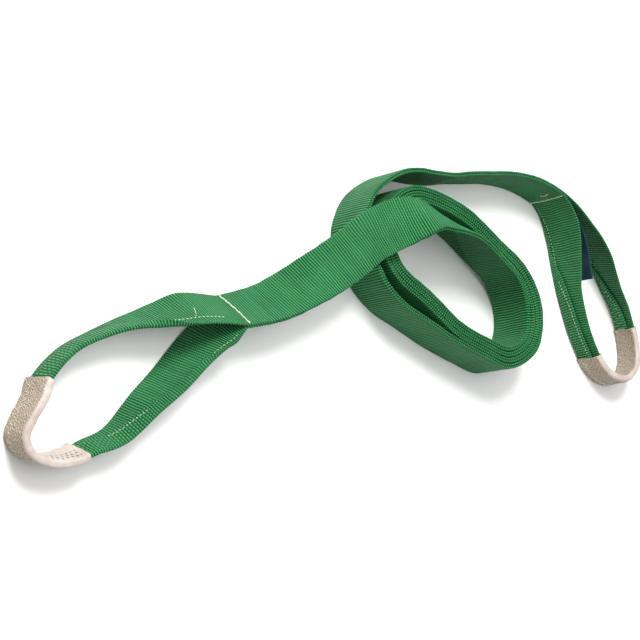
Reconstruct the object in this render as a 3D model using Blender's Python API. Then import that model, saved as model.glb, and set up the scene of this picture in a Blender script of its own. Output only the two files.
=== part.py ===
"""Flat web sling: a two-ply band of woven webbing with a sleeved eye at each end, lying coiled on edge.

Metres, +Z up, +X along the longest side. The band is followed in one direction: from the
near eye over the near tail, round the coil from the inside out, and along the far tail to
the far eye. Every stop of a web is (x, y, z, lean, width, thickness): the lower edge of the
web, the angle of its width from level towards the right of the way it runs, and its section.
"""

import math

import bpy
from mathutils import Vector

# Driving dimensions
WEB_WIDTH = 0.060
PLY_THICKNESS = 0.0029
PLY_GAP = 0.0003
TURN_GAP = 0.0006
COIL_HOLE_LENGTH = 0.231
COIL_TURNS = 3
NEAR_TAIL_REACH = 0.237
FAR_TAIL_REACH = 0.228
NEAR_EYE_REACH = 0.288
FAR_EYE_REACH = 0.251
FOLDED_WIDTH = 0.036
SLEEVE_LENGTH = 0.150
SLEEVE_WALL = 0.0012
SLEEVE_CLEARANCE = 0.0004
LABEL_HEIGHT = 0.047
LABEL_THICKNESS = 0.0012
THREAD_RADIUS = 0.0006
JOINT_GAP = 0.0005

# Sizes worked out from those above
FOLDED_THICKNESS = 2 * PLY_THICKNESS
BAND_THICKNESS = 2 * PLY_THICKNESS + PLY_GAP
PLY_OFFSET = (PLY_THICKNESS + PLY_GAP) / 2
TURN_PITCH = BAND_THICKNESS + TURN_GAP
SLEEVE_OUTSET = SLEEVE_WALL + SLEEVE_CLEARANCE
OVER_COIL = WEB_WIDTH + BAND_THICKNESS / 2 + PLY_GAP
THREAD_STANDOFF = THREAD_RADIUS + 0.0007

# Sizes that the stops of the route below were laid out for; the stops move when a size above does
LAID_OUT_TURNS = 3
LAID_OUT_PITCH = 0.0067
LAID_OUT_BAND = 0.0061
LOOP_REACH = 0.144
TAIL_OVER_LOOP = (0.134, 0.052)
TAIL_LAID_OUT = 0.237
WALL_GROWTH = TURN_PITCH * (COIL_TURNS + 0.5) - LAID_OUT_PITCH * (LAID_OUT_TURNS + 0.5)
BAND_GROWTH = BAND_THICKNESS - LAID_OUT_BAND

STEPS_PER_STOP = 4
END_STOPS = 9
UP = Vector((0.0, 0.0, 1.0))

# The hole of the coil: x and y from its middle for a hole 0.231 long, and how slack the turns lie there.
HOLE_DRAWN_LENGTH = 0.231
HOLE_MIDDLE = (0.1475, 0.0165)
HOLE_OUTLINE = (
    (0.101, -0.050, 0.0012),
    (0.088, -0.081, 0.0010),
    (0.059, -0.090, 0.0006),
    (0.025, -0.074, 0.0002),
    (-0.016, -0.047, 0.0002),
    (-0.054, -0.006, 0.0003),
    (-0.089, 0.029, 0.0006),
    (-0.097, 0.057, 0.0008),
    (-0.087, 0.082, 0.0008),
    (-0.059, 0.096, 0.0005),
    (-0.031, 0.091, 0.0002),
    (0.018, 0.064, 0.0002),
    (0.061, 0.021, 0.0004),
    (0.092, -0.015, 0.0009),
)
# Where the band climbs the hole's far side before it crosses over the coil: height and lean by stop.
CLIMB = ((0.93, 53.0), (0.62, 68.0), (0.27, 84.0), (0.10, 89.0))
LAST_TIGHT_STOP = 3


def remove_everything():
    """Clear the scene of the objects it starts with."""
    for thing in list(bpy.data.objects):
        bpy.data.objects.remove(thing, do_unlink=True)


def collection_named(name):
    """Make a collection for the parts and link it to the scene."""
    collection = bpy.data.collections.new(name)
    bpy.context.scene.collection.children.link(collection)
    return collection


def finish(name, colour, roughness):
    """A plain Principled material for one kind of surface."""
    material = bpy.data.materials.new(name)
    material.use_nodes = True
    shader = material.node_tree.nodes["Principled BSDF"]
    shader.inputs["Base Color"].default_value = (*colour, 1.0)
    shader.inputs["Roughness"].default_value = roughness
    shader.inputs["Metallic"].default_value = 0.0
    return material


def curve_value(a, b, c, d, t):
    """Catmull-Rom value a share t of the way from b to c, with a before them and d after."""
    bend = 2 * a - 5 * b + 4 * c - d
    twist = 3 * b - a - 3 * c + d
    return 0.5 * (2 * b + (c - a) * t + bend * t ** 2 + twist * t ** 3)


def smooth_path(stops, steps=STEPS_PER_STOP):
    """Catmull-Rom curve through stops of any number of values, with the same steps in each span."""
    path = []
    last = len(stops) - 1
    for index in range(last):
        before = stops[max(index - 1, 0)]
        start = stops[index]
        end = stops[index + 1]
        after = stops[min(index + 2, last)]
        for step in range(steps):
            t = step / steps
            path.append(tuple(curve_value(*values, t) for values in zip(before, start, end, after)))
    path.append(stops[last])
    return path


def frames_along(path, ends=None):
    """Middle, width direction, face normal, width and thickness of the web at each stop of a path.

    ends holds the width direction and face normal that the first and last stop must have; the
    web turns into them over its first and last few stops.
    """
    count = len(path)
    edges = [Vector(stop[:3]) for stop in path]
    across = []
    for index in range(count):
        ahead = edges[min(index + 1, count - 1)] - edges[max(index - 1, 0)]
        side = Vector((ahead.y, -ahead.x, 0.0)).normalized()
        lean = math.radians(path[index][3])
        across.append(side * math.cos(lean) + UP * math.sin(lean))
    for step in range(END_STOPS if ends else 0):
        share = (step / END_STOPS) ** 2 * (3 - 2 * step / END_STOPS)
        across[step] = ends[0][0].lerp(across[step], share).normalized()
        across[-1 - step] = ends[1][0].lerp(across[-1 - step], share).normalized()
    middles = [edges[i] + across[i] * path[i][4] / 2 for i in range(count)]
    frames = []
    for index in range(count):
        along = middles[min(index + 1, count - 1)] - middles[max(index - 1, 0)]
        normal = across[index].cross(along).normalized()
        if ends and index == 0:
            normal = ends[0][1]
        if ends and index == count - 1:
            normal = ends[1][1]
        frames.append((middles[index], across[index], normal, path[index][4], path[index][5]))
    return frames


def trimmed(frames, gap):
    """The same frames with both ends drawn back by half a joint gap."""
    kept = list(frames)
    for end, way in ((0, 1), (-1, -1)):
        middle, across, normal, width, thick = kept[end]
        kept[end] = (middle + normal.cross(across) * gap * way, across, normal, width, thick)
    return kept


def moved_out(frames, distance):
    """The same frames shifted along their face normals."""
    return [(m + n * distance, a, n, w, t) for m, a, n, w, t in frames]


def corner_ring(frame, outset=0.0, rounding=0.0):
    """Corners of the section at one frame, with the four edges cut off where there is rounding."""
    middle, across, normal, width, thick = frame
    wide = width / 2 + outset
    deep = thick / 2 + outset
    cut = rounding
    if cut <= 0.0:
        flat = ((wide, -deep), (wide, deep), (-wide, deep), (-wide, -deep))
    else:
        flat = (
            (wide - cut, -deep), (wide, cut - deep), (wide, deep - cut), (wide - cut, deep),
            (cut - wide, deep), (-wide, deep - cut), (-wide, cut - deep), (cut - wide, -deep),
        )
    return [middle + across * a + normal * b for a, b in flat]


def object_from(name, points, faces, material, collection):
    """Make a mesh object from points and faces with one material."""
    mesh = bpy.data.meshes.new(name)
    mesh.from_pydata([tuple(point) for point in points], [], faces)
    mesh.materials.append(material)
    mesh.update()
    thing = bpy.data.objects.new(name, mesh)
    collection.objects.link(thing)
    return thing


def skin(points_a, points_b, k, size, outward):
    """Two triangles between neighbouring rings, cut the same way on faces that lie against each other."""
    a = points_a + k
    b = points_a + (k + 1) % size
    c = points_b + (k + 1) % size
    d = points_b + k
    pair = [(a, d, c), (a, c, b)] if k < size / 2 else [(a, d, b), (d, c, b)]
    return pair if outward else [tuple(reversed(face)) for face in pair]


def web(name, frames, material, collection, rounding=0.0):
    """A closed web: the section swept over its frames and capped at both ends."""
    rings = [corner_ring(frame, 0.0, min(rounding, frame[4] * 0.35)) for frame in frames]
    size = len(rings[0])
    points = [point for ring in rings for point in ring]
    faces = []
    for row in range(len(rings) - 1):
        for k in range(size):
            faces += skin(row * size, (row + 1) * size, k, size, True)
    faces.append(tuple(range(size)))
    faces.append(tuple(reversed(range((len(rings) - 1) * size, len(rings) * size))))
    return object_from(name, points, faces, material, collection)


def sleeve(name, frames, material, collection):
    """An open-ended tube around a web, with room between the two."""
    outer = [corner_ring(frame, SLEEVE_OUTSET, 0.0022) for frame in frames]
    inner = [corner_ring(frame, SLEEVE_CLEARANCE, 0.0004) for frame in frames]
    size = len(outer[0])
    points = [point for ring in outer for point in ring] + [point for ring in inner for point in ring]
    shift = len(outer) * size
    faces = []
    for row in range(len(outer) - 1):
        for k in range(size):
            faces += skin(row * size, (row + 1) * size, k, size, True)
            faces += skin(shift + row * size, shift + (row + 1) * size, k, size, False)
    end = (len(outer) - 1) * size
    for k in range(size):
        n = (k + 1) % size
        faces.append((k, n, shift + n, shift + k))
        faces.append((end + n, end + k, shift + end + k, shift + end + n))
    return object_from(name, points, faces, material, collection)


def thread(name, points, material, collection):
    """A sewing thread: a round bevelled curve through points, turned into a mesh."""
    curve = bpy.data.curves.new(name, "CURVE")
    curve.dimensions = "3D"
    curve.bevel_depth = THREAD_RADIUS
    curve.bevel_resolution = 0
    curve.use_fill_caps = True
    spline = curve.splines.new("POLY")
    spline.points.add(len(points) - 1)
    for slot, point in zip(spline.points, points):
        slot.co = (*point, 1.0)
    drawn = bpy.data.objects.new(name + "_curve", curve)
    collection.objects.link(drawn)
    bpy.context.view_layer.update()
    mesh = bpy.data.meshes.new_from_object(drawn.evaluated_get(bpy.context.evaluated_depsgraph_get()))
    bpy.data.objects.remove(drawn, do_unlink=True)
    mesh.name = name
    mesh.materials.clear()
    mesh.materials.append(material)
    thing = bpy.data.objects.new(name, mesh)
    collection.objects.link(thing)
    return thing


def on_face(frame, across, side, standoff):
    """Point over one face of a web: across runs from -1 to 1 over the width."""
    middle, width_way, normal, width, thick = frame
    return middle + width_way * (across * width / 2) + normal * side * (thick / 2 + standoff)


# --- the route of the band ---------------------------------------------------------------------

def hole_normals():
    """Outward directions of the hole's outline in plan."""
    count = len(HOLE_OUTLINE)
    normals = []
    for index in range(count):
        x0, y0, _ = HOLE_OUTLINE[index - 1]
        x1, y1, _ = HOLE_OUTLINE[(index + 1) % count]
        length = math.hypot(x1 - x0, y1 - y0)
        normals.append((-(y1 - y0) / length, (x1 - x0) / length))
    return normals


def coil_stop(number, height, lean):
    """Stop of the band in the coil, counted along the outline; each turn lies one pitch outside the last."""
    count = len(HOLE_OUTLINE)
    x, y, slack = HOLE_OUTLINE[number % count]
    normal = hole_normals()[number % count]
    scale = COIL_HOLE_LENGTH / HOLE_DRAWN_LENGTH
    out = (TURN_PITCH + slack) * (number / count + 0.5)
    return (
        HOLE_MIDDLE[0] + x * scale + normal[0] * out,
        HOLE_MIDDLE[1] + y * scale + normal[1] * out,
        height, lean, WEB_WIDTH, BAND_THICKNESS,
    )


def beside_hole(x, y):
    """A plan point given from the middle of the hole, which moves with the size of the hole."""
    scale = COIL_HOLE_LENGTH / HOLE_DRAWN_LENGTH
    return (HOLE_MIDDLE[0] + x * scale, HOLE_MIDDLE[1] + y * scale)


def outside_coil(x, y):
    """A plan point given from the middle of the hole, which also moves out as the coil's wall grows."""
    px, py = beside_hole(x, y)
    reach = math.hypot(x, y)
    return (px + x / reach * WALL_GROWTH, py + y / reach * WALL_GROWTH)


def crossing_stops():
    """The band over the near side of the coil, from the near tail's hinge to where it dips into the hole."""
    stops = []
    plan = ((-0.104, 0.1080, 0.0005, 15.0), (-0.077, 0.1085, 0.0006, 28.0), (-0.054, 0.1035, 0.0001, 42.0))
    for x, y, rise, lean in plan:
        px, py = beside_hole(x, y)
        stops.append((px, py, OVER_COIL + rise, lean, WEB_WIDTH, BAND_THICKNESS))
    return stops


def climb_stops():
    """The band's climb from the floor of the hole up to the top of the coil."""
    first = -len(CLIMB)
    return [coil_stop(first + i, WEB_WIDTH * rise, lean) for i, (rise, lean) in enumerate(CLIMB)]


def turn_stops():
    """The tight turns of the coil, standing on the floor."""
    last = COIL_TURNS * len(HOLE_OUTLINE) + LAST_TIGHT_STOP
    return [coil_stop(number, 0.0, 90.0) for number in range(last + 1)]


def outer_loop_stops():
    """The last turn, which leaves the coil and bows out round its near end to the far tail's hinge."""
    plan = (
        (-0.0345, -0.0675), (-0.054, -0.053), (-0.077, -0.036), (-0.104, -0.016), (-0.125, 0.010),
        (-0.133, 0.032), (-0.140, 0.055), (-0.144, 0.080), (-0.132, 0.103), (-0.114, 0.121),
        (-0.089, 0.133), (-0.061, 0.140), (-0.034, 0.139), (-0.012, 0.134),
    )
    return [(*outside_coil(x, y), 0.0, 90.0, WEB_WIDTH, BAND_THICKNESS) for x, y in plan]


def near_tail_stops():
    """The near tail from the eye's join to its hinge: steps back from the hinge, height and lean.

    The part that passes over the coil's outer loop follows the size of the coil, and the rest
    takes up what is left of the tail's reach.
    """
    hinge = crossing_stops()[0]
    over_x, over_y = TAIL_OVER_LOOP
    over = COIL_HOLE_LENGTH / HOLE_DRAWN_LENGTH + WALL_GROWTH / LOOP_REACH
    rest = (NEAR_TAIL_REACH - over_x * over) / (TAIL_LAID_OUT - over_x)
    plan = (
        (-0.237, -0.076, 0.155, 49.0), (-0.186, -0.071, 0.265, 42.0), (-0.134, -0.052, 0.545, 27.0),
        (-0.084, -0.030, 0.850, 11.0), (-0.044, -0.010, 1.060, 5.0),
    )
    stops = []
    for x, y, rise, lean in plan:
        if x < -over_x:
            step_x = -over_x * over + (x + over_x) * rest
            step_y = -over_y * over + (y + over_y) * rest
        else:
            step_x, step_y = x * over, y * over
        height = rise * WEB_WIDTH + BAND_GROWTH
        stops.append((hinge[0] + step_x, hinge[1] + step_y, height, lean, WEB_WIDTH, BAND_THICKNESS))
    return stops


def far_tail_stops():
    """The far tail from its hinge to the far eye's join, standing on the floor."""
    hinge = outer_loop_stops()[-1]
    scale = FAR_TAIL_REACH / 0.228
    plan = (
        (0.034, -0.006), (0.063, -0.007), (0.098, -0.010), (0.138, -0.014), (0.176, -0.023),
        (0.206, -0.036), (0.228, -0.050),
    )
    hx, hy = hinge[:2]
    return [(hx + x * scale, hy + y * scale, 0.0, 90.0, WEB_WIDTH, BAND_THICKNESS) for x, y in plan]


def band_frames():
    """Frames of the whole band, with the numbers of the frames at its two hinges."""
    near = near_tail_stops()
    coil = crossing_stops() + climb_stops() + turn_stops() + outer_loop_stops()
    far = far_tail_stops()
    frames = frames_along(standing(smooth_path(near + coil + far)))
    near_hinge = len(near) * STEPS_PER_STOP
    far_hinge = (len(near) + len(coil) - 1) * STEPS_PER_STOP
    return frames, near_hinge, far_hinge


def eased(value):
    """Width of a folded leg: 1 is the full web and 0 the folded one."""
    return FOLDED_WIDTH + (WEB_WIDTH - FOLDED_WIDTH) * value


def folded(x, y, height, lean, wide, fold):
    """A stop of an eye's web, with its width and thickness from how far it is folded."""
    thick = PLY_THICKNESS + (FOLDED_THICKNESS - PLY_THICKNESS) * fold
    return (x, y, height, lean, eased(wide), thick)


def standing(path):
    """The path lifted wherever the web's lower corner would pass below the floor."""
    return [(x, y, max(z, thick / 2 * abs(math.cos(math.radians(lean)))), lean, width, thick)
            for x, y, z, lean, width, thick in path]


def resting(path):
    """The path of an eye, lifted wherever the web or the sleeve round it would pass below the floor."""
    lifted = []
    for x, y, z, lean, width, thick in path:
        sleeved = min(max((eased(0.30) - width) / (eased(0.30) - eased(0.10)), 0.0), 1.0)
        reach = SLEEVE_OUTSET * sleeved
        slope = math.radians(lean)
        corner = reach * abs(math.sin(slope)) + (thick / 2 + reach) * abs(math.cos(slope))
        lifted.append((x, y, max(z, corner), lean, width, thick))
    return lifted


def near_eye_frames(band):
    """The near eye: down the lower ply's leg, round the bearing point and back along the upper ply's leg."""
    join = band[0]
    lower = join[0] - join[2] * PLY_OFFSET - join[1] * WEB_WIDTH / 2
    upper = join[0] + join[2] * PLY_OFFSET - join[1] * WEB_WIDTH / 2
    scale = NEAR_EYE_REACH / 0.288
    plan = (
        (-0.022, -0.015, 0.006, 130.0, 1.00, 0.0), (-0.044, -0.028, 0.003, 128.0, 0.90, 0.3),
        (-0.071, -0.046, 0.0, 127.0, 0.72, 0.8), (-0.099, -0.065, 0.0, 127.0, 0.60, 1.0),
        (-0.130, -0.084, 0.0, 125.0, 0.45, 1.0), (-0.173, -0.113, 0.0, 122.0, 0.12, 1.0),
        (-0.207, -0.121, 0.0, 118.0, 0.0, 1.0), (-0.235, -0.128, 0.0, 112.0, 0.0, 1.0),
        (-0.261, -0.128, 0.0, 105.0, 0.0, 1.0), (-0.280, -0.119, 0.0, 98.0, 0.0, 1.0),
        (-0.287, -0.103, 0.0, 88.0, 0.0, 1.0), (-0.279, -0.087, 0.0, 82.0, 0.0, 1.0),
        (-0.261, -0.067, 0.0, 80.0, 0.0, 1.0), (-0.246, -0.045, 0.0, 78.0, 0.0, 1.0),
        (-0.210, -0.023, 0.0, 80.0, 0.08, 1.0), (-0.166, -0.011, 0.0, 78.0, 0.30, 1.0),
        (-0.132, -0.003, 0.001, 71.0, 0.55, 1.0), (-0.110, 0.001, 0.003, 64.0, 0.72, 0.8),
        (-0.086, 0.006, 0.006, 56.0, 0.88, 0.5), (-0.050, 0.0115, 0.010, 46.0, 0.98, 0.1),
    )
    stops = [(lower.x, lower.y, lower.z, 180.0 - 49.0, WEB_WIDTH, PLY_THICKNESS)]
    for x, y, height, lean, wide, fold in plan:
        px = join_edge(join).x + x * scale
        py = join_edge(join).y + y * scale
        stops.append(folded(px, py, height, lean, wide, fold))
    stops.append((upper.x, upper.y, upper.z, 49.0, WEB_WIDTH, PLY_THICKNESS))
    return frames_along(resting(smooth_path(stops)), ((join[1], -join[2]), (join[1], join[2])))


def join_edge(join):
    """Lower edge of the band at a join."""
    return join[0] - join[1] * WEB_WIDTH / 2


def far_eye_frames(band):
    """The far eye: out along the outer ply's leg, round the bearing point and back to the inner ply."""
    join = band[-1]
    outer = join_edge(join) + join[2] * PLY_OFFSET
    inner = join_edge(join) - join[2] * PLY_OFFSET
    scale = FAR_EYE_REACH / 0.251
    plan = (
        (0.018, -0.0135, 90.0, 1.00, 0.0), (0.042, -0.037, 86.0, 1.00, 0.3), (0.066, -0.060, 80.0, 0.98, 0.7),
        (0.084, -0.085, 75.0, 0.90, 1.0), (0.097, -0.112, 74.0, 0.55, 1.0), (0.106, -0.138, 76.0, 0.25, 1.0),
        (0.113, -0.160, 78.0, 0.08, 1.0), (0.117, -0.182, 79.0, 0.0, 1.0), (0.118, -0.207, 80.0, 0.0, 1.0),
        (0.113, -0.232, 82.0, 0.0, 1.0), (0.101, -0.248, 84.0, 0.0, 1.0), (0.081, -0.256, 86.0, 0.0, 1.0),
        (0.059, -0.250, 88.0, 0.0, 1.0), (0.043, -0.236, 90.0, 0.0, 1.0), (0.031, -0.214, 90.0, 0.0, 1.0),
        (0.020, -0.175, 90.0, 0.05, 1.0), (0.015, -0.132, 90.0, 0.20, 1.0), (0.014, -0.094, 90.0, 0.60, 1.0),
        (0.015, -0.059, 90.0, 0.90, 0.8), (0.014, -0.037, 90.0, 1.00, 0.4), (0.0085, -0.017, 90.0, 1.00, 0.0),
    )
    stops = [(outer.x, outer.y, 0.0, 90.0, WEB_WIDTH, PLY_THICKNESS)]
    for x, y, lean, wide, fold in plan:
        px = join_edge(join).x + x * scale
        py = join_edge(join).y + y * scale
        stops.append(folded(px, py, 0.0, lean, wide, fold))
    stops.append((inner.x, inner.y, 0.0, 90.0, WEB_WIDTH, PLY_THICKNESS))
    return frames_along(resting(smooth_path(stops)), ((join[1], join[2]), (join[1], -join[2])))


# --- the parts ---------------------------------------------------------------------------------

def plies(frames, names, end_gap, material, collection):
    """The two plies of one stretch of the band, face to face."""
    stretch = trimmed(frames, end_gap)
    for name, side in zip(names, (1, -1)):
        ply = [(m, a, n, w, PLY_THICKNESS) for m, a, n, w, _ in moved_out(stretch, side * PLY_OFFSET)]
        web(name, ply, material, collection)


def bearing_range(frames):
    """First and last frame under the sleeve: its length is shared either side of the loop's far point."""
    lengths = [0.0]
    for index in range(1, len(frames)):
        lengths.append(lengths[-1] + (frames[index][0] - frames[index - 1][0]).length)
    far_point = max(range(len(frames)), key=lambda i: (frames[i][0] - frames[0][0]).length)
    middle = lengths[far_point]
    inside = [i for i, s in enumerate(lengths) if abs(s - middle) <= SLEEVE_LENGTH / 2]
    return inside[0], inside[-1]


def across_join(frame, side):
    """Thread sewn to and fro across the band at a join."""
    middle, across, normal, width, thick = frame
    forward = across.cross(normal)
    passes = 14
    points = []
    for step in range(passes + 1):
        place = -0.9 + 1.8 * step / passes
        swing = 0.0022 * (1 if step % 2 else -1)
        points.append(on_face(frame, place, side, THREAD_STANDOFF) + forward * swing)
    return points


def along_leg(frames, first, last, across, side):
    """Thread that sews the fold of an eye's leg down."""
    return [on_face(frames[i], across, side, THREAD_STANDOFF) for i in range(first, last + 1)]


def over_sleeve(frames, first, last, side):
    """Thread sewn to and fro over the outer face of a sleeve."""
    points = []
    for number, index in enumerate(range(first + 1, last)):
        place = 0.62 if number % 2 else 0.05
        points.append(on_face(frames[index], place, side, SLEEVE_OUTSET + THREAD_STANDOFF))
    return points


def build_band(frames, near_hinge, far_hinge, material, collection):
    """The coil and the two tails, each of two plies."""
    stretches = (
        (frames[near_hinge:far_hinge + 1], ("coil_outer_ply", "coil_inner_ply")),
        (frames[:near_hinge + 1], ("near_tail_upper_ply", "near_tail_lower_ply")),
        (frames[far_hinge:], ("far_tail_outer_ply", "far_tail_inner_ply")),
    )
    for stretch, names in stretches:
        plies(stretch, names, JOINT_GAP / 2, material, collection)


def build_eye(end, frames, outer_side, green, beige, cream, collection):
    """One eye: its folded web, its sleeve, the seams of both legs and the sewing of the sleeve."""
    eye = trimmed(frames, JOINT_GAP / 2)
    web(end + "_eye_web", eye, green, collection, 0.0006)
    first, last = bearing_range(eye)
    sleeve(end + "_sleeve", eye[first:last + 1], beige, collection)
    thread(end + "_sleeve_thread", over_sleeve(eye, first, last, outer_side), cream, collection)
    thread(end + "_eye_seam_out", along_leg(eye, 5, first - 2, 0.30, outer_side), cream, collection)
    thread(end + "_eye_seam_back", along_leg(eye, last + 2, len(eye) - 6, 0.30, outer_side), cream, collection)


def label_frames(band):
    """The label, hung on edge from the far join between the two legs."""
    join = join_edge(band[-1])
    rise = (WEB_WIDTH - LABEL_HEIGHT) * 0.45
    plan = ((0.0145, -0.0165), (0.029, -0.046), (0.033, -0.076), (0.030, -0.114))
    scale = FAR_EYE_REACH / 0.251
    return frames_along(smooth_path([
        (join.x + x * scale, join.y + y * scale, rise, 90.0, LABEL_HEIGHT, LABEL_THICKNESS) for x, y in plan
    ]))


def main():
    """Build the sling."""
    remove_everything()
    collection = collection_named("flat_web_sling")
    green = finish("green_webbing", (0.035, 0.36, 0.10), 0.85)
    beige = finish("beige_sleeve", (0.62, 0.50, 0.36), 0.80)
    cream = finish("cream_thread", (0.78, 0.70, 0.52), 0.75)
    navy = finish("navy_label", (0.02, 0.05, 0.20), 0.60)
    frames, near_hinge, far_hinge = band_frames()
    build_band(frames, near_hinge, far_hinge, green, collection)
    near = near_eye_frames(frames)
    far = far_eye_frames(frames)
    build_eye("near", near, 1, green, beige, cream, collection)
    build_eye("far", far, 1, green, beige, cream, collection)
    band_skin = [(m, a, n, w, BAND_THICKNESS) for m, a, n, w, _ in frames]
    thread("near_join_stitch", across_join(band_skin[1], 1), cream, collection)
    thread("far_join_stitch", across_join(band_skin[-2], -1), cream, collection)
    web("label", label_frames(frames), navy, collection)


main()
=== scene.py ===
"""Flat web sling, lying coiled on edge on a pale floor with both sleeved eyes laid out.

The frame holds the moving bodies. This script lays the woven webbing, the leather sleeves, the
sewing and the label over them, gives each its finish, and sets the floor, the lights and the camera.
"""

from __future__ import annotations

import logging
import math
from dataclasses import dataclass, field
from enum import Enum

import bpy
import numpy as np
from mathutils import Matrix, Vector


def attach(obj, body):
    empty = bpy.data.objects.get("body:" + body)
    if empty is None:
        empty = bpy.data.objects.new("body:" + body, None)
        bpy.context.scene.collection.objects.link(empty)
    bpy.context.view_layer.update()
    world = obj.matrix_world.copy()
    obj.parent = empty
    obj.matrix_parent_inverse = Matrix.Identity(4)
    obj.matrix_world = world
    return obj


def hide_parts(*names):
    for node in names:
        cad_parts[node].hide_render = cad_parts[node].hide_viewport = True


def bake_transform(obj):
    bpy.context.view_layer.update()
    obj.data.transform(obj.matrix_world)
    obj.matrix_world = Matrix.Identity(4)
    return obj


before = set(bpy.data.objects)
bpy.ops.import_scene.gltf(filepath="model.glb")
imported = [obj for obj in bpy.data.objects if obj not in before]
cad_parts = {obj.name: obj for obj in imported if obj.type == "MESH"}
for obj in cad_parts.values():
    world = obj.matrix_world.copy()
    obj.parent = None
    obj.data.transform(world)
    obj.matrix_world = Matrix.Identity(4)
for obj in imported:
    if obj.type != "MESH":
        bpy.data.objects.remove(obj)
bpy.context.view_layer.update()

LOG = logging.getLogger("web_sling")

WEB_WIDTH = 0.060
PLY = 0.0029
PLY_GAP = 0.0003
TURN_GAP = 0.0006
TURN_PITCH = 2 * PLY + PLY_GAP + TURN_GAP
PLY_OFFSET = (PLY + PLY_GAP) / 2
BAND = 2 * PLY + PLY_GAP
FOLDED_WIDTH = 0.036
SLEEVE_OUTSET = 0.0016
RIB_PITCH = 0.0033
ROWS_PER_RIB = 4
ROW_SPACING = 0.001
FLOOR_CLEAR = 0.0002
THREAD_CLEAR = 0.0001
EASE_STRIDES = 9
BEND_BEFORE = 0.028
BEND_AFTER = 0.036
BEND_AFTER_FAR_JOIN = 0.018  # ends before the label starts
SEAM_CLEAR = 0.006  # the web lies askew to its bend, so the bend starts this far past the seam
UP = np.array((0.0, 0.0, 1.0))

HOLE_MIDDLE = (0.1475, 0.0165)
HOLE_OUTLINE = (
    (0.101, -0.050, 0.0012), (0.088, -0.081, 0.0010), (0.059, -0.090, 0.0006), (0.025, -0.074, 0.0002),
    (-0.016, -0.047, 0.0002), (-0.054, -0.006, 0.0003), (-0.089, 0.029, 0.0006), (-0.097, 0.057, 0.0008),
    (-0.087, 0.082, 0.0008), (-0.059, 0.096, 0.0005), (-0.031, 0.091, 0.0002), (0.018, 0.064, 0.0002),
    (0.061, 0.021, 0.0004), (0.092, -0.015, 0.0009),
)
CROSSING = ((-0.104, 0.1080, 0.0005, 15.0), (-0.077, 0.1085, 0.0006, 28.0), (-0.054, 0.1035, 0.0001, 42.0))
CLIMB = ((0.93, 53.0), (0.62, 68.0), (0.27, 84.0), (0.10, 89.0))
LAST_TIGHT_STOP = 3 * len(HOLE_OUTLINE) + 3
OUTER_LOOP = (
    (-0.0345, -0.0675), (-0.054, -0.053), (-0.077, -0.036), (-0.104, -0.016), (-0.125, 0.010),
    (-0.133, 0.032), (-0.140, 0.055), (-0.144, 0.080), (-0.132, 0.103), (-0.114, 0.121),
    (-0.089, 0.133), (-0.061, 0.140), (-0.034, 0.139), (-0.012, 0.134),
)
NEAR_TAIL = (
    (-0.237, -0.076, 0.155, 49.0), (-0.186, -0.071, 0.265, 42.0), (-0.134, -0.052, 0.545, 27.0),
    (-0.084, -0.030, 0.850, 11.0), (-0.044, -0.010, 1.060, 5.0),
)
FAR_TAIL = (
    (0.034, -0.006), (0.063, -0.007), (0.098, -0.010), (0.138, -0.014), (0.176, -0.023),
    (0.206, -0.036), (0.228, -0.050),
)
NEAR_EYE = (
    (-0.022, -0.015, 0.006, 130.0, 1.00, 0.0), (-0.044, -0.028, 0.003, 128.0, 0.90, 0.3),
    (-0.071, -0.046, 0.0, 127.0, 0.72, 0.8), (-0.099, -0.065, 0.0, 127.0, 0.60, 1.0),
    (-0.130, -0.084, 0.0, 125.0, 0.45, 1.0), (-0.173, -0.113, 0.0, 122.0, 0.12, 1.0),
    (-0.207, -0.121, 0.0, 118.0, 0.0, 1.0), (-0.235, -0.128, 0.0, 112.0, 0.0, 1.0),
    (-0.261, -0.128, 0.0, 105.0, 0.0, 1.0), (-0.280, -0.119, 0.0, 98.0, 0.0, 1.0),
    (-0.287, -0.103, 0.0, 88.0, 0.0, 1.0), (-0.279, -0.087, 0.0, 82.0, 0.0, 1.0),
    (-0.261, -0.067, 0.0, 80.0, 0.0, 1.0), (-0.246, -0.045, 0.0, 78.0, 0.0, 1.0),
    (-0.210, -0.023, 0.0, 80.0, 0.08, 1.0), (-0.166, -0.011, 0.0, 78.0, 0.30, 1.0),
    (-0.132, -0.003, 0.001, 71.0, 0.55, 1.0), (-0.110, 0.001, 0.003, 64.0, 0.72, 0.8),
    (-0.086, 0.006, 0.006, 56.0, 0.88, 0.5), (-0.050, 0.0115, 0.010, 46.0, 0.98, 0.1),
)
FAR_EYE = (
    (0.018, -0.0135, 90.0, 1.00, 0.0), (0.042, -0.037, 86.0, 1.00, 0.3), (0.066, -0.060, 80.0, 0.98, 0.7),
    (0.084, -0.085, 75.0, 0.90, 1.0), (0.097, -0.112, 74.0, 0.55, 1.0), (0.106, -0.138, 76.0, 0.25, 1.0),
    (0.113, -0.160, 78.0, 0.08, 1.0), (0.117, -0.182, 79.0, 0.0, 1.0), (0.118, -0.207, 80.0, 0.0, 1.0),
    (0.113, -0.232, 82.0, 0.0, 1.0), (0.101, -0.248, 84.0, 0.0, 1.0), (0.081, -0.256, 86.0, 0.0, 1.0),
    (0.059, -0.250, 88.0, 0.0, 1.0), (0.043, -0.236, 90.0, 0.0, 1.0), (0.031, -0.214, 90.0, 0.0, 1.0),
    (0.020, -0.175, 90.0, 0.05, 1.0), (0.015, -0.132, 90.0, 0.20, 1.0), (0.014, -0.094, 90.0, 0.60, 1.0),
    (0.015, -0.059, 90.0, 0.90, 0.8), (0.014, -0.037, 90.0, 1.00, 0.4), (0.0085, -0.017, 90.0, 1.00, 0.0),
)
LABEL_HEIGHT = 0.00585
LABEL_WIDTH = 0.047
LABEL_THICKNESS = 0.0012
SENSOR_WIDTH = 36.0
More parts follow.
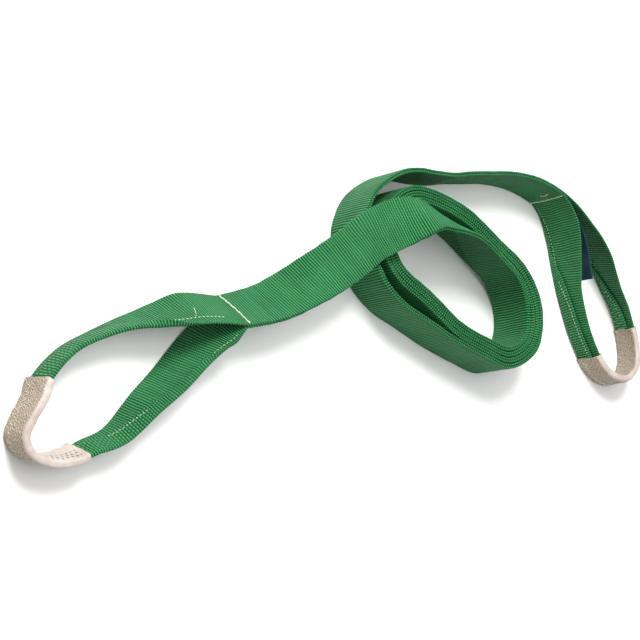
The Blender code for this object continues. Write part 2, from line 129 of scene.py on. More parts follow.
LENS_LENGTH = 97.875
LABEL_LINE = ((0.0145, -0.0165), (0.029, -0.046), (0.033, -0.076), (0.030, -0.114))


class Side(Enum):
    """Which face or edge of a web something belongs to."""

    PLUS = 1
    MINUS = -1


class Leg(Enum):
    """The two legs of an eye, named for the way its web is followed."""

    OUT = "out"
    BACK = "back"


@dataclass
class Lay:
    """How a web lies: its middle, width way, face normal, width and thickness along its length."""

    middle: np.ndarray
    across: np.ndarray
    normal: np.ndarray
    width: np.ndarray
    thick: np.ndarray

    def lengths(self) -> np.ndarray:
        """Distance along the web at each row."""
        return running_length(self.middle)

    def at(self, places: np.ndarray) -> "Lay":
        """The lay at given distances along the web.

        Args:
            places: distances from the start, in metres.

        Returns:
            A new lay with one row for each place.
        """
        run = self.lengths()

        def pick(values: np.ndarray) -> np.ndarray:
            """Values at the places, one column at a time."""
            return np.stack([np.interp(places, run, column) for column in values.T], axis=1)

        across = unit(pick(self.across))
        normal = unit(pick(self.normal))
        return Lay(pick(self.middle), across, normal, np.interp(places, run, self.width),
                   np.interp(places, run, self.thick))

    def part(self, first: float, last: float, spacing: float) -> "Lay":
        """The stretch between two distances, with even rows about spacing apart.

        Args:
            first: distance along the web at which it starts.
            last: distance at which it ends.
            spacing: wished distance between rows.

        Returns:
            The stretch as a lay of its own.
        """
        count = max(2, int(round((last - first) / spacing)) + 1)
        return self.at(np.linspace(first, last, count))

    def shifted(self, distance: float) -> "Lay":
        """The same web moved along its face normals."""
        return Lay(self.middle + self.normal * distance, self.across, self.normal, self.width, self.thick)

    def along(self) -> np.ndarray:
        """Unit directions in which the web runs."""
        return unit(np.gradient(self.middle, axis=0))

    def edge(self) -> np.ndarray:
        """The lower edge of the web."""
        return self.middle - self.across * self.width[:, None] / 2

    def turned(self) -> "Lay":
        """The same web followed the other way, with its faces swapped."""
        return Lay(self.middle[::-1], self.across[::-1], -self.normal[::-1], self.width[::-1],
                   self.thick[::-1])

    def then(self, other: "Lay") -> "Lay":
        """This web carried on by another, whose first row is this one's last.

        Args:
            other: the web that follows.

        Returns:
            Both as one lay.
        """
        names = ("middle", "across", "normal", "width", "thick")
        pairs = ((getattr(self, name), getattr(other, name)) for name in names)
        return Lay(*(np.concatenate((first, second[1:])) for first, second in pairs))

    def ribbed(self) -> "Lay":
        """The same web in rows that put a whole number of ribs between its ends."""
        ribs = max(2, round(float(self.lengths()[-1]) / RIB_PITCH))
        return self.at(np.linspace(0.0, float(self.lengths()[-1]), ribs * ROWS_PER_RIB + 1))

    def ribs_along(self) -> np.ndarray:
        """How far along each row lies, in whole rib pitches times the pitch."""
        return np.arange(len(self.middle)) * RIB_PITCH / ROWS_PER_RIB

    def points(self, side: np.ndarray, lift: np.ndarray, slip: np.ndarray | None = None) -> np.ndarray:
        """Places off the middle line, in every row.

        Args:
            side: steps along the width way, by row and place.
            lift: steps along the face normal.
            slip: steps along the web, if any.

        Returns:
            The places, by row and place.
        """
        places = (self.middle[:, None] + self.across[:, None] * side[..., None]
                  + self.normal[:, None] * lift[..., None])
        return places if slip is None else places + self.along()[:, None] * slip[..., None]


def running_length(line: np.ndarray) -> np.ndarray:
    """Distance along a line of points, at each of them."""
    return np.concatenate(([0.0], np.cumsum(np.linalg.norm(np.diff(line, axis=0), axis=1))))


def unit(vectors: np.ndarray) -> np.ndarray:
    """Rows scaled to length one."""
    return vectors / np.maximum(np.linalg.norm(vectors, axis=1, keepdims=True), 1e-12)


def smooth_path(stops: list, steps: int) -> np.ndarray:
    """Catmull-Rom curve through stops of any number of values.

    Args:
        stops: rows of numbers.
        steps: steps in each span.

    Returns:
        The curve's rows, the stops among them.
    """
    held = np.array([stops[0], *stops, stops[-1]], float)
    t = (np.arange(steps) / steps)[None, :, None]
    a, b, c, d = (held[i:len(held) - 3 + i, None, :] for i in range(4))
    spans = 0.5 * (2 * b + (c - a) * t + (2 * a - 5 * b + 4 * c - d) * t ** 2
                   + (3 * b - a - 3 * c + d) * t ** 3)
    return np.concatenate((spans.reshape(-1, held.shape[1]), held[-1:]))


def lay_from(path: np.ndarray, stride: int, ends: tuple | None = None) -> Lay:
    """Turn a path of (x, y, z, lean, width, thickness) into a lay.

    Args:
        path: rows of the path.
        stride: rows on each side over which a direction is measured.
        ends: width way and face normal that the first and last row must have.

    Returns:
        The lay.
    """
    edge = path[:, :3]
    rows = np.arange(len(path))
    after = np.minimum(rows + stride, len(path) - 1)
    before = np.maximum(rows - stride, 0)
    ahead = edge[after] - edge[before]
    side = unit(np.stack((ahead[:, 1], -ahead[:, 0], np.zeros(len(path))), axis=1))
    lean = np.radians(path[:, 3])[:, None]
    across = side * np.cos(lean) + UP * np.sin(lean)
    if ends:
        reach = EASE_STRIDES * stride
        share = np.clip(rows / reach, 0, 1)[:, None]
        share = share ** 2 * (3 - 2 * share)
        across = unit(ends[0][0] * (1 - share) + across * share)
        share = share[::-1]
        across = unit(ends[1][0] * (1 - share) + across * share)
    middle = edge + across * path[:, 4:5] / 2
    normal = unit(np.cross(across, middle[after] - middle[before]))
    if ends:
        for row, (_, fixed) in ((slice(0, stride), ends[0]), (slice(-stride, None), ends[1])):
            count = len(normal[row])
            ease = np.linspace(0, 1, count) if row.start == 0 else np.linspace(1, 0, count)
            normal[row] = unit(fixed * (1 - ease[:, None]) + normal[row] * ease[:, None])
    return Lay(middle, across, normal, path[:, 4], path[:, 5])


@dataclass
class SlingRoute:
    """The way the whole band lies, and where it is free to bend."""

    steps: int = 24
    stride: int = 6
    band: Lay = field(init=False)
    near_eye: Lay = field(init=False)
    far_eye: Lay = field(init=False)
    label: Lay = field(init=False)
    near_hinge: float = field(init=False)
    far_hinge: float = field(init=False)
    length: float = field(init=False)

    def __post_init__(self) -> None:
        """Work out every lay."""
        near, coil, far = self.near_tail_stops(), self.coil_stops(), self.far_tail_stops()
        path = smooth_path(near + coil + far, self.steps)
        path[:, 2] = np.maximum(path[:, 2], path[:, 5] / 2 * np.abs(np.cos(np.radians(path[:, 3]))))
        self.band = lay_from(path, self.stride)
        run = self.band.lengths()
        self.length = float(run[-1])
        self.near_hinge = float(run[len(near) * self.steps])
        self.far_hinge = float(run[(len(near) + len(coil) - 1) * self.steps])
        self.near_eye = self.eye_lay(0, NEAR_EYE, 1)
        self.far_eye = self.eye_lay(-1, [(x, y, 0.0, lean, w, f) for x, y, lean, w, f in FAR_EYE], -1)
        start = self.band.edge()[-1]
        rows = [(start[0] + x, start[1] + y, LABEL_HEIGHT, 90.0, LABEL_WIDTH, LABEL_THICKNESS)
                for x, y in LABEL_LINE]
        self.label = lay_from(smooth_path(rows, self.steps), self.stride)

    @staticmethod
    def coil_stop(number: int, height: float, lean: float) -> tuple:
        """One stop of the coil; each turn lies one pitch outside the last.

        Args:
            number: which stop, counted round from the first turn.
            height: height of its lower edge.
            lean: degrees that the web stands up from flat.

        Returns:
            Place, height, lean, width and thickness.
        """
        count = len(HOLE_OUTLINE)
        x, y, slack = HOLE_OUTLINE[number % count]
        x0, y0, _ = HOLE_OUTLINE[number % count - 1]
        x1, y1, _ = HOLE_OUTLINE[(number + 1) % count]
        reach = math.hypot(x1 - x0, y1 - y0)
        out = (TURN_PITCH + slack) * (number / count + 0.5)
        return (HOLE_MIDDLE[0] + x - (y1 - y0) / reach * out, HOLE_MIDDLE[1] + y + (x1 - x0) / reach * out,
                height, lean, WEB_WIDTH, BAND)

    def coil_stops(self) -> list:
        """Stops from the near tail's hinge, over and round the coil, to the far tail's hinge.

        Returns:
            The stops, in order.
        """
        mx, my = HOLE_MIDDLE
        over = WEB_WIDTH + BAND / 2 + PLY_GAP
        stops = [(mx + x, my + y, over + rise, lean, WEB_WIDTH, BAND) for x, y, rise, lean in CROSSING]
        stops += [self.coil_stop(i - len(CLIMB), WEB_WIDTH * rise, lean)
                  for i, (rise, lean) in enumerate(CLIMB)]
        stops += [self.coil_stop(number, 0.0, 90.0) for number in range(LAST_TIGHT_STOP + 1)]
        return stops + [(mx + x, my + y, 0.0, 90.0, WEB_WIDTH, BAND) for x, y in OUTER_LOOP]

    def near_tail_stops(self) -> list:
        """Stops of the near tail, from the eye's join to the hinge."""
        hx, hy = HOLE_MIDDLE[0] + CROSSING[0][0], HOLE_MIDDLE[1] + CROSSING[0][1]
        return [(hx + x, hy + y, rise * WEB_WIDTH, lean, WEB_WIDTH, BAND) for x, y, rise, lean in NEAR_TAIL]

    def far_tail_stops(self) -> list:
        """Stops of the far tail, from its hinge to the eye's join."""
        hx, hy = HOLE_MIDDLE[0] + OUTER_LOOP[-1][0], HOLE_MIDDLE[1] + OUTER_LOOP[-1][1]
        return [(hx + x, hy + y, 0.0, 90.0, WEB_WIDTH, BAND) for x, y in FAR_TAIL]

    def eye_lay(self, row: int, plan: list, first: int) -> Lay:
        """Lay of an eye's web, from one ply of the band's end round to the other.

        Args:
            row: 0 at the near end of the band and -1 at the far one.
            plan: stops of the eye from the lower edge of the join.
            first: which ply it sets out from, as -1 or 1 times the face normal.

        Returns:
            The lay of the whole eye.
        """
        across, normal = self.band.across[row], self.band.normal[row]
        edge = self.band.edge()[row]
        lean = math.degrees(math.asin(across[2]))
        leave = edge - normal * PLY_OFFSET * first
        arrive = edge + normal * PLY_OFFSET * first
        start_lean = 180.0 - lean if row == 0 else 90.0
        end_lean = lean if row == 0 else 90.0
        spare = WEB_WIDTH - FOLDED_WIDTH
        stops = [(*leave, start_lean, WEB_WIDTH, PLY)]
        for x, y, height, tilt, wide, fold in plan:
            width = FOLDED_WIDTH + spare * wide
            stops.append((edge[0] + x, edge[1] + y, height, tilt, width, PLY * (1 + fold)))
        stops.append((*arrive, end_lean, WEB_WIDTH, PLY))
        path = smooth_path(stops, self.steps)
        sleeved = np.clip((FOLDED_WIDTH + spare * 0.30 - path[:, 4]) / (spare * 0.20), 0, 1)
        slope = np.radians(path[:, 3])
        reach = SLEEVE_OUTSET * sleeved
        corner = reach * np.abs(np.sin(slope)) + (path[:, 5] / 2 + reach) * np.abs(np.cos(slope))
        path[:, 2] = np.maximum(path[:, 2], corner)
        return lay_from(path, self.stride, ((across, -normal * first), (across, normal * first)))


def deselect() -> None:
    """Leave nothing selected."""
    for thing in bpy.context.selected_objects:
        thing.select_set(False)


def rolled_sheet(name: str, points: np.ndarray, run: np.ndarray, round_way: np.ndarray,
                 closed_ends: bool = True) -> bpy.types.Object:
    """A grid primitive bent into a closed tube of section points, with its ends filled.

    Args:
        name: name of the piece.
        points: places by row, then round the section, whose last place repeats its first.
        run: length along the piece at each row, in metres, for its UV.
        round_way: distance round the section at each place, in metres.
        closed_ends: fill both ends, or join the ends of the tube to one another.

    Returns:
        The new piece.
    """
    rows, ring, _ = points.shape
    uv = np.stack(np.broadcast_arrays(run[:, None], round_way[None, :]), axis=2)
    deselect()
    bpy.ops.mesh.primitive_grid_add(x_subdivisions=ring - 1, y_subdivisions=rows - 1, size=1.0)
    piece = bpy.context.active_object
    piece.name = name
    mesh = piece.data
    mesh.name = name
    flat = np.empty(len(mesh.vertices) * 3)
    mesh.vertices.foreach_get("co", flat)
    flat = flat.reshape(-1, 3)
    column = np.rint((flat[:, 0] + 0.5) * (ring - 1)).astype(int)
    row = np.rint((flat[:, 1] + 0.5) * (rows - 1)).astype(int)
    mesh.vertices.foreach_set("co", points[row, column].reshape(-1))
    corners = np.empty(len(mesh.loops), int)
    mesh.loops.foreach_get("vertex_index", corners)
    mesh.uv_layers[0].name = "web"
    mesh.uv_layers[0].data.foreach_set("uv", uv[row[corners], column[corners]].reshape(-1))
    bpy.ops.object.mode_set(mode="EDIT")
    bpy.ops.mesh.select_mode(type="VERT")
    bpy.ops.mesh.select_all(action="SELECT")
    bpy.ops.mesh.remove_doubles(threshold=1e-6)
    if closed_ends:
        bpy.ops.mesh.select_all(action="DESELECT")
        bpy.ops.mesh.select_non_manifold(extend=False, use_wire=False, use_multi_face=False,
                                         use_non_contiguous=False, use_verts=False)
        bpy.ops.mesh.fill_holes(sides=0)
    bpy.ops.mesh.select_all(action="SELECT")
    bpy.ops.mesh.normals_make_consistent(inside=False)
    bpy.ops.object.mode_set(mode="OBJECT")
    bpy.ops.object.shade_smooth_by_angle(angle=math.radians(50))
    return piece


def rib_drift(run: np.ndarray, across: np.ndarray, seed: int) -> np.ndarray:
    """How far each place of a rib strays along the web, so that no rib runs quite straight.

    Args:
        run: length along the web at each row.
        across: place across the web, by row and place.
        seed: seed of the phases.

    Returns:
        Distances along the web, by row and place.
    """
    rng = np.random.default_rng(seed)
    drift = np.zeros((len(run), across.shape[1]))
    for length, width, size in ((0.170, 0.110, 0.0009), (0.061, 0.047, 0.00045), (0.023, 0.031, 0.00022)):
        phase, other = rng.uniform(0, 2 * math.pi, 2)
        drift += size * np.sin(2 * math.pi * run / length + phase)[:, None] * np.sin(
            2 * math.pi * across / width + other)
    ease = np.clip(np.minimum(run, run[-1] - run) / 0.012, 0, 1)
    return drift * ease[:, None]


def waves(places: np.ndarray, seed: int, lengths: tuple, size: float) -> np.ndarray:
    """Slow unevenness along a length: a sum of sine waves with phases from a seed.

    Args:
        places: lengths to work it out at.
        seed: seed of the phases.
        lengths: wavelengths.
        size: greatest height.

    Returns:
        A height for each place.
    """
    rng = np.random.default_rng(seed)
    total = np.zeros_like(places)
    for length in lengths:
        total += np.sin(2 * math.pi * places / length + rng.uniform(0, 2 * math.pi))
    return total * size / len(lengths)


@dataclass
class WovenWeb:
    """One web with rounded selvedges and a rib across it every few millimetres."""

    name: str
    lay: Lay
    seed: int
    rib: float = 0.00019
    bead: float = 0.00038
    face_steps: int = 8
    edge_steps: int = 4
    half: float = PLY / 2 - 0.00012
    wander: float = 0.00045

    def build(self) -> bpy.types.Object:
        """Make the web's mesh.

        Returns:
            The new piece.
        """
        lay = self.lay
        run = lay.ribs_along()
        rib = np.cos(2 * math.pi * run / RIB_PITCH)[:, None]
        turn = np.linspace(-90, 90, self.edge_steps + 1)
        flat = np.linspace(1, -1, self.face_steps + 1)[1:-1]
        along = [("edge", 1, math.radians(t)) for t in turn]
        along += [("face", f, 1) for f in flat]
        along += [("edge", -1, math.radians(180 - t)) for t in turn[::-1]]
        along += [("face", -f, -1) for f in flat]
        along.append(along[0])
        wide = (lay.width / 2 + waves(run, self.seed, (0.11, 0.047, 0.021), self.wander))[:, None]
        places = np.empty((len(run), len(along), 2))
        for k, (kind, a, b) in enumerate(along):
            if kind == "face":
                places[:, k, 0] = (a * (wide - self.half))[:, 0]
                places[:, k, 1] = (b * (self.half + self.rib * rib))[:, 0]
            else:
                out = self.half + self.bead * rib * abs(math.cos(b))
                places[:, k, 0] = (a * (wide - self.half) + out * math.cos(b))[:, 0]
                places[:, k, 1] = ((self.half + self.rib * rib) * math.sin(b))[:, 0]
        drift = rib_drift(run, places[..., 0], self.seed)
        points = lay.points(places[..., 0], places[..., 1], drift)
        points[..., 2] = np.maximum(points[..., 2], FLOOR_CLEAR)
        return rolled_sheet(self.name, points, run, running_length(places[0]))


@dataclass
class FoldedLeg:
    """A leg of an eye: a web whose one edge curls over and folds onto its own face towards the sleeve."""

    name: str
    lay: Lay
    fold_edge: Side
    flap_face: Side
    rib: float = 0.00021
    bead: float = 0.00030
    base_steps: int = 8
    arc_steps: int = 6
    flap_steps: int = 6
    half: float = PLY / 2 - 0.00015
    radius: float = PLY / 2 + 0.00005

    def curl(self) -> np.ndarray:
        """How far the edge is turned over at each row, up to half a turn."""
        return np.clip(self.lay.thick / PLY - 1, 0, 1) * (math.pi - 0.03)

    def section(self) -> tuple:
        """The web's middle line across its section.

        Returns:
            Distances from the free edge, heights over the lower layer, turns of the surface, and the
            distance of each place past the fold, measured on the cloth.
        """
        curl = self.curl()[:, None]
        cloth_width = WEB_WIDTH - 2 * self.half
        arc = self.radius * np.maximum(curl, math.pi / 4)
        base = np.minimum(self.lay.width[:, None] - 2 * self.half - self.radius, cloth_width - arc - 0.002)
        flap = cloth_width - base - arc
        cloth = np.concatenate((
            base * np.linspace(0, 1, self.base_steps + 1)[None, :-1],
            base + arc * np.linspace(0, 1, self.arc_steps + 1)[None, :-1],
            base + arc + flap * np.linspace(0, 1, self.flap_steps + 1)[None, :],
        ), axis=1)
        past = np.maximum(cloth - base, 0.0)
        turn = np.minimum(past / self.radius, curl)
        beyond = np.maximum(past - self.radius * curl, 0.0)
        distance = np.minimum(cloth, base) + self.radius * np.sin(turn) + beyond * np.cos(curl)
        height = self.radius * (1 - np.cos(turn)) + beyond * np.sin(curl)
        return distance, height, turn, beyond

    def placed(self, distance: np.ndarray, height: np.ndarray) -> tuple:
        """Turn distances and heights of a section into steps across the web and along its normal.

        Args:
            distance: distances from the free edge.
            height: heights over the lower layer.

        Returns:
            Steps across the web and steps along its normal.
        """
        low = self.flap_face.value * np.clip(self.lay.thick / PLY - 1, 0, 1)[:, None] * PLY / 2
        start = -self.fold_edge.value * (self.lay.width[:, None] / 2 - self.half)
        return start + self.fold_edge.value * distance, self.flap_face.value * height - low

    def build(self) -> bpy.types.Object:
        """Make the leg's mesh.

        Returns:
            The new piece.
        """
        lay = self.lay
        run = lay.ribs_along()
        rib = np.cos(2 * math.pi * run / RIB_PITCH)[:, None]
        distance, height, turn, beyond = self.section()
        side, lift = self.placed(distance, height)
        way = np.stack((self.fold_edge.value * np.cos(turn), self.flap_face.value * np.sin(turn)), axis=2)
        out = np.stack((-self.fold_edge.value * np.sin(turn), self.flap_face.value * np.cos(turn)), axis=2)
        centre = np.stack((side, lift), axis=2)
        thick = (self.half + self.rib * rib)[..., None]
        tips = np.radians((-60.0, -30.0, 0.0, 30.0, 60.0))
        bead = (self.half + self.bead * rib)[..., None]

        def selvedge(column: int, sign: int) -> np.ndarray:
            """The rounded edge of the cloth at its first or last column.

            Args:
                column: 0 for the first column and -1 for the last.
                sign: the way out of the cloth there.

            Returns:
                Its places, by row.
            """
            only = slice(0, 1) if column == 0 else slice(-1, None)
            ways, outs, start = way[:, only], out[:, only], centre[:, only]
            angles = (tips if column == 0 else -tips)[None, :, None]
            return start + sign * ways * np.cos(angles) * bead + outs * np.sin(angles) * thick

        parts = [selvedge(0, -1), centre + out * thick, selvedge(-1, 1), (centre - out * thick)[:, ::-1]]
        shifts = [beyond[:, :1].repeat(len(tips), 1), beyond, beyond[:, -1:].repeat(len(tips), 1),
                  beyond[:, ::-1]]
        places = np.concatenate((*parts, parts[0][:, :1]), axis=1)
        slope = np.arctan(np.gradient(lay.width, run))
        shift = np.concatenate((*shifts, shifts[0][:, :1]), axis=1) * np.sin(2 * slope)[:, None]
        shift = shift + rib_drift(run, places[..., 0], len(self.name))
        points = lay.points(places[..., 0], places[..., 1], shift)
        points[..., 2] = np.maximum(points[..., 2], FLOOR_CLEAR)
        return rolled_sheet(self.name, points, run, running_length(places[len(places) // 2]))

    def seam_line(self, from_fold: np.ndarray, inset: float, above: float) -> tuple[np.ndarray, np.ndarray]:
        """Where the stitches lie that hold the fold down.

        Args:
            from_fold: least distance of the row from the folded edge, at each row of the leg.
            inset: distance of the row from the flap's free edge, where the flap reaches further.
            above: height of the row over the cloth it lies on.

        Returns:
            Places along the leg and the surface normals there.
        """
        lay = self.lay
        distance, height, turn, _ = self.section()
        curl = turn[:, -1]
        edge = lay.width - 2 * self.half
        reach = edge - distance[:, -1]
        on_flap = np.clip((reach - inset - from_fold) / 0.002 + 0.5, 0, 1) * (curl > math.pi / 2)
        flap_across = distance[:, -1] - inset * np.cos(curl)
        flap_height = height[:, -1] - inset * np.sin(curl) + self.half + above
        across = flap_across * on_flap + (edge - from_fold) * (1 - on_flap)
        rise = flap_height * on_flap + (self.half + above) * (1 - on_flap)
        side, lift = self.placed(across[:, None], rise[:, None])
        normals = lay.normal * self.flap_face.value
        return lay.middle + lay.across * side + lay.normal * lift, normals


@dataclass
class LeatherTube:
    """A flattened leather tube with a real wall, a lapped seam and softly crumpled faces."""

    name: str
    lay: Lay
    seed: int
    outset: float = SLEEVE_OUTSET
    wall: float = 0.0012
    corner: float = 0.0030
    crumple: float = 0.00035
    lap_from: float = 0.010
    lap_to: float = 0.016
    lap: float = 0.0006
    ring: int = 72

    def outline(self, wide: float, deep: float, corner: float) -> np.ndarray:
        """Points round a rounded oblong, from the middle of one face, with their outward normals.

        Args:
            wide: half its width.
            deep: half its depth.
            corner: radius of its corners.

        Returns:
            Rows of two coordinates and two parts of the normal.
        """
        corner = min(corner, deep * 0.98)
        points = []
        straight = ((wide - corner) * 2, (deep - corner) * 2)
        arc = math.pi / 2 * corner
        total = 2 * sum(straight) + 4 * arc
        for step in range(self.ring + 1):
            left = (total * step / self.ring + straight[0] / 2) % total
            for quarter in range(4):
                run = straight[quarter % 2]
                turn = quarter * math.pi / 2
                if left <= run + arc:
                    break
                left -= run + arc
            half = run / 2
            other = straight[(quarter + 1) % 2] / 2 + corner
            if left <= run:
                x, y, nx, ny = left - half, other, 0.0, 1.0
            else:
                angle = (left - run) / corner
                x, y = half + corner * math.sin(angle), other - corner + corner * math.cos(angle)
                nx, ny = math.sin(angle), math.cos(angle)
            c, s = math.cos(turn), math.sin(turn)
            points.append((x * c + y * s, y * c - x * s, nx * c + ny * s, ny * c - nx * s))
        return np.array(points)

    def build(self) -> bpy.types.Object:
        """Make the tube: out along its outer face, round the rim and back along its inner face.

        Returns:
            The new piece.
        """
        lay = self.lay
        run = lay.lengths()
        wide, deep = FOLDED_WIDTH / 2 + self.outset, PLY + self.outset
        outer = self.outline(wide, deep, self.corner)
        inner = self.outline(wide - self.wall, deep - self.wall, self.corner)
        round_way = running_length(outer[:, :2])
        swell = self.unevenness(run, round_way)
        lapped = 1 / (1 + np.exp(-(round_way - self.lap_from) / 0.0004))
        lapped = lapped * np.clip((self.lap_to - round_way) / (self.lap_to - self.lap_from), 0, 1)
        flare = 0.0005 * (np.exp(-run / 0.004) + np.exp((run - run[-1]) / 0.004))[:, None]
        skin = swell + self.lap * lapped[None, :] + flare
        cut = waves(round_way, self.seed + 5, (round_way[-1] / 3, round_way[-1] / 7), 0.0006)
        wrap = run[:, None] + cut[None, :] * (2 * run[:, None] / run[-1] - 1)
        outside = self.spread_out(outer, skin, wrap)
        inside = self.spread_out(inner, np.minimum(swell, 0.0002) + flare, wrap)
        rim_out = outside * 0.75 + inside * 0.25
        along = lay.along()
        last = (rim_out[-1] + along[-1] * 0.0004)[None]
        first = (rim_out[0] - along[0] * 0.0004)[None]
        points = np.concatenate((outside, last, inside[::-1], first, outside[:1]))
        points[..., 2] = np.maximum(points[..., 2], 0.0)
        around = np.concatenate((run, run[-1:] + 0.001, run[::-1], run[:1] - 0.001, run[:1]))
        return rolled_sheet(self.name, points, around, round_way, closed_ends=False)

    def unevenness(self, run: np.ndarray, round_way: np.ndarray) -> np.ndarray:
        """Soft dents and swellings of the leather over the whole tube.

        Args:
            run: length along the tube at each row.
            round_way: distance round it at each place.

        Returns:
            Heights, by row and place.
        """
        total = round_way[-1]
        swell = np.zeros((len(run), len(round_way)))
        rng = np.random.default_rng(self.seed)
        for length, turns in ((0.060, 1), (0.034, 2), (0.021, 3), (0.013, 4), (0.009, 6), (0.017, 5)):
            phase, other = rng.uniform(0, 2 * math.pi, 2)
            swell += np.sin(2 * math.pi * run / length + phase)[:, None] * np.cos(
                2 * math.pi * turns * round_way / total + other)[None, :]
        return swell * self.crumple / 2.2

    def spread_out(self, outline: np.ndarray, skin: np.ndarray, wrap: np.ndarray) -> np.ndarray:
        """Points of a face of the tube, raised by its unevenness.

        Args:
            outline: the outline and its normals.
            skin: height of the face over the outline, by row and place.
            wrap: length along the tube, by row and place.

        Returns:
            The places, by row.
        """
        side = outline[None, :, 0] + outline[None, :, 2] * skin
        lift = outline[None, :, 1] + outline[None, :, 3] * skin
        return self.lay.points(side, lift, wrap - self.lay.lengths()[:, None])

    def line(self, round_from: float, swing: float, first: float, last: float, count: int) -> tuple:
        """A zig-zag or straight line over the tube's outer face for its sewing.

        Args:
            round_from: distance round the outline from the middle of the first face.
            swing: how far the line swings to each side.
            first: where it starts, as a share of the length.
            last: where it ends.
            count: number of turning points.

        Returns:
            Places and normals along the line.
        """
        outer = self.outline(FOLDED_WIDTH / 2 + self.outset, PLY + self.outset, self.corner)
        round_way = running_length(outer[:, :2])
        turns = np.arange(count)
        where = (round_from + swing * (turns % 2 * 2 - 1)) % round_way[-1]
        shares = first + (last - first) * turns / max(count - 1, 1)
        lay = self.lay.at(shares * self.lay.lengths()[-1])
        flat = np.stack([np.interp(where, round_way, column) for column in outer.T], axis=1)
        places = lay.middle + lay.across * flat[:, :1] + lay.normal * flat[:, 1:2]
        normals = lay.across * flat[:, 2:3] + lay.normal * flat[:, 3:]
        return places + normals * 0.0002, normals


@dataclass
class StitchRow:
    """A row of sewn stitches, each a short plump strand that sinks into the web at both ends."""

    name: str
    line: np.ndarray
    normal: np.ndarray
    stitch: float
    gap: float
    radius: float
    skew: float = 8.0
    seed: int = 3
    proud: float = 0.35
    between: bool = False

    @staticmethod
    def strand() -> tuple[np.ndarray, np.ndarray]:
        """One stitch of unit size, modelled once: its points and its faces.

        Returns:
            Points and faces.
        """
        deselect()
        bpy.ops.mesh.primitive_uv_sphere_add(segments=8, ring_count=8, radius=1.0)
        ball = bpy.context.active_object
        bpy.ops.object.mode_set(mode="EDIT")
        bpy.ops.mesh.select_all(action="SELECT")
        bpy.ops.mesh.quads_convert_to_tris(quad_method="BEAUTY", ngon_method="BEAUTY")
        bpy.ops.object.mode_set(mode="OBJECT")
        mesh = ball.data
        points = np.array([v.co[:] for v in mesh.vertices])
        faces = np.array([f.vertices[:] for f in mesh.polygons])
        bpy.data.objects.remove(ball, do_unlink=True)
        bpy.data.meshes.remove(mesh)
        points = points[:, [2, 0, 1]]
        stretch = np.abs(points[:, 0])
        points[:, 1:] *= (1 - 0.25 * stretch ** 3)[:, None]
        points[:, 2] -= 0.55 * stretch ** 2
        return points, faces

    def build(self) -> bpy.types.Object:
        """Make the row as one mesh.

        Returns:
            The new piece.
        """
        rng = np.random.default_rng(self.seed)
        steps = np.linalg.norm(np.diff(self.line, axis=0), axis=1)
        run = np.concatenate(([0.0], np.cumsum(steps)))
        count = max(1, int(run[-1] / (self.stitch + self.gap)))
        places = (np.arange(count) + 0.5) * run[-1] / count
        if self.between:
            places = (run[1:] + run[:-1]) / 2
        points, faces = self.strand()
        every_point, every_face = [], []
        for number, place in enumerate(places):
            def pick(values: np.ndarray, where: float = place) -> np.ndarray:
                """Value of the line or its normals at this stitch."""
                return np.array([np.interp(where, run, column) for column in values.T])

            half = (steps[number] * 0.46 if self.between else self.stitch / 2) * rng.uniform(0.88, 1.05)
            ahead = pick(self.line, min(place + half, run[-1])) - pick(self.line, max(place - half, 0.0))
            ahead = ahead / np.linalg.norm(ahead)
            up = pick(self.normal)
            up = up - ahead * up.dot(ahead)
            up = up / np.linalg.norm(up)
            side = np.cross(up, ahead)
            twist = math.radians(self.skew * (1 if number % 2 else -1) + rng.uniform(-4, 4))
            way = ahead * math.cos(twist) + side * math.sin(twist)
            side = np.cross(up, way)
            radius = self.radius * rng.uniform(0.9, 1.1)
            centre = (pick(self.line) + up * self.radius * self.proud
                      + side * rng.uniform(-0.2, 0.2) * self.radius)
            placed = (centre + points[:, :1] * way * half + points[:, 1:2] * side * radius
                      + points[:, 2:] * up * radius)
            every_face.append(faces + number * len(points))
            every_point.append(placed)
        return mesh_piece(self.name, np.concatenate(every_point), np.concatenate(every_face))


def mesh_piece(name: str, points: np.ndarray, faces: np.ndarray) -> bpy.types.Object:
    """A smooth-shaded piece from stamped copies of a modelled shape.

    Args:
        name: name of the piece.
        points: its points.
        faces: point numbers of each face.

    Returns:
        The new piece.
    """
    mesh = bpy.data.meshes.new(name)
    mesh.from_pydata(points.tolist(), [], faces.tolist())
    mesh.update()
    piece = bpy.data.objects.new(name, mesh)
    bpy.context.scene.collection.objects.link(piece)
    deselect()
    piece.select_set(True)
    bpy.context.view_layer.objects.active = piece
    bpy.ops.object.shade_smooth()
    return piece


def loose_thread(name: str, points: list, radius: float) -> bpy.types.Object:
    """A loose end of sewing thread: a bevelled curve, made a mesh.

    Args:
        name: name of the piece.
        points: places it runs through.
        radius: radius of the thread.

    Returns:
        The new piece.
    """
    deselect()
    bpy.ops.curve.primitive_bezier_curve_add()
    strand = bpy.context.active_object
    strand.name = name
    curve = strand.data
    curve.splines.clear()
    spline = curve.splines.new("BEZIER")
    spline.bezier_points.add(len(points) - 1)
    for knot, place in zip(spline.bezier_points, points):
        knot.co = place
        knot.handle_left_type = "AUTO"
        knot.handle_right_type = "AUTO"
    curve.bevel_depth = radius
    curve.bevel_resolution = 2
    curve.resolution_u = 8
    curve.use_fill_caps = True
    bpy.ops.object.convert(target="MESH")
    piece = bpy.context.active_object
    piece.data.transform(piece.matrix_world)
    piece.matrix_world = Matrix.Identity(4)
    bpy.ops.object.shade_smooth()
    return piece


# --- finishes ------------------------------------------------------------------------------------

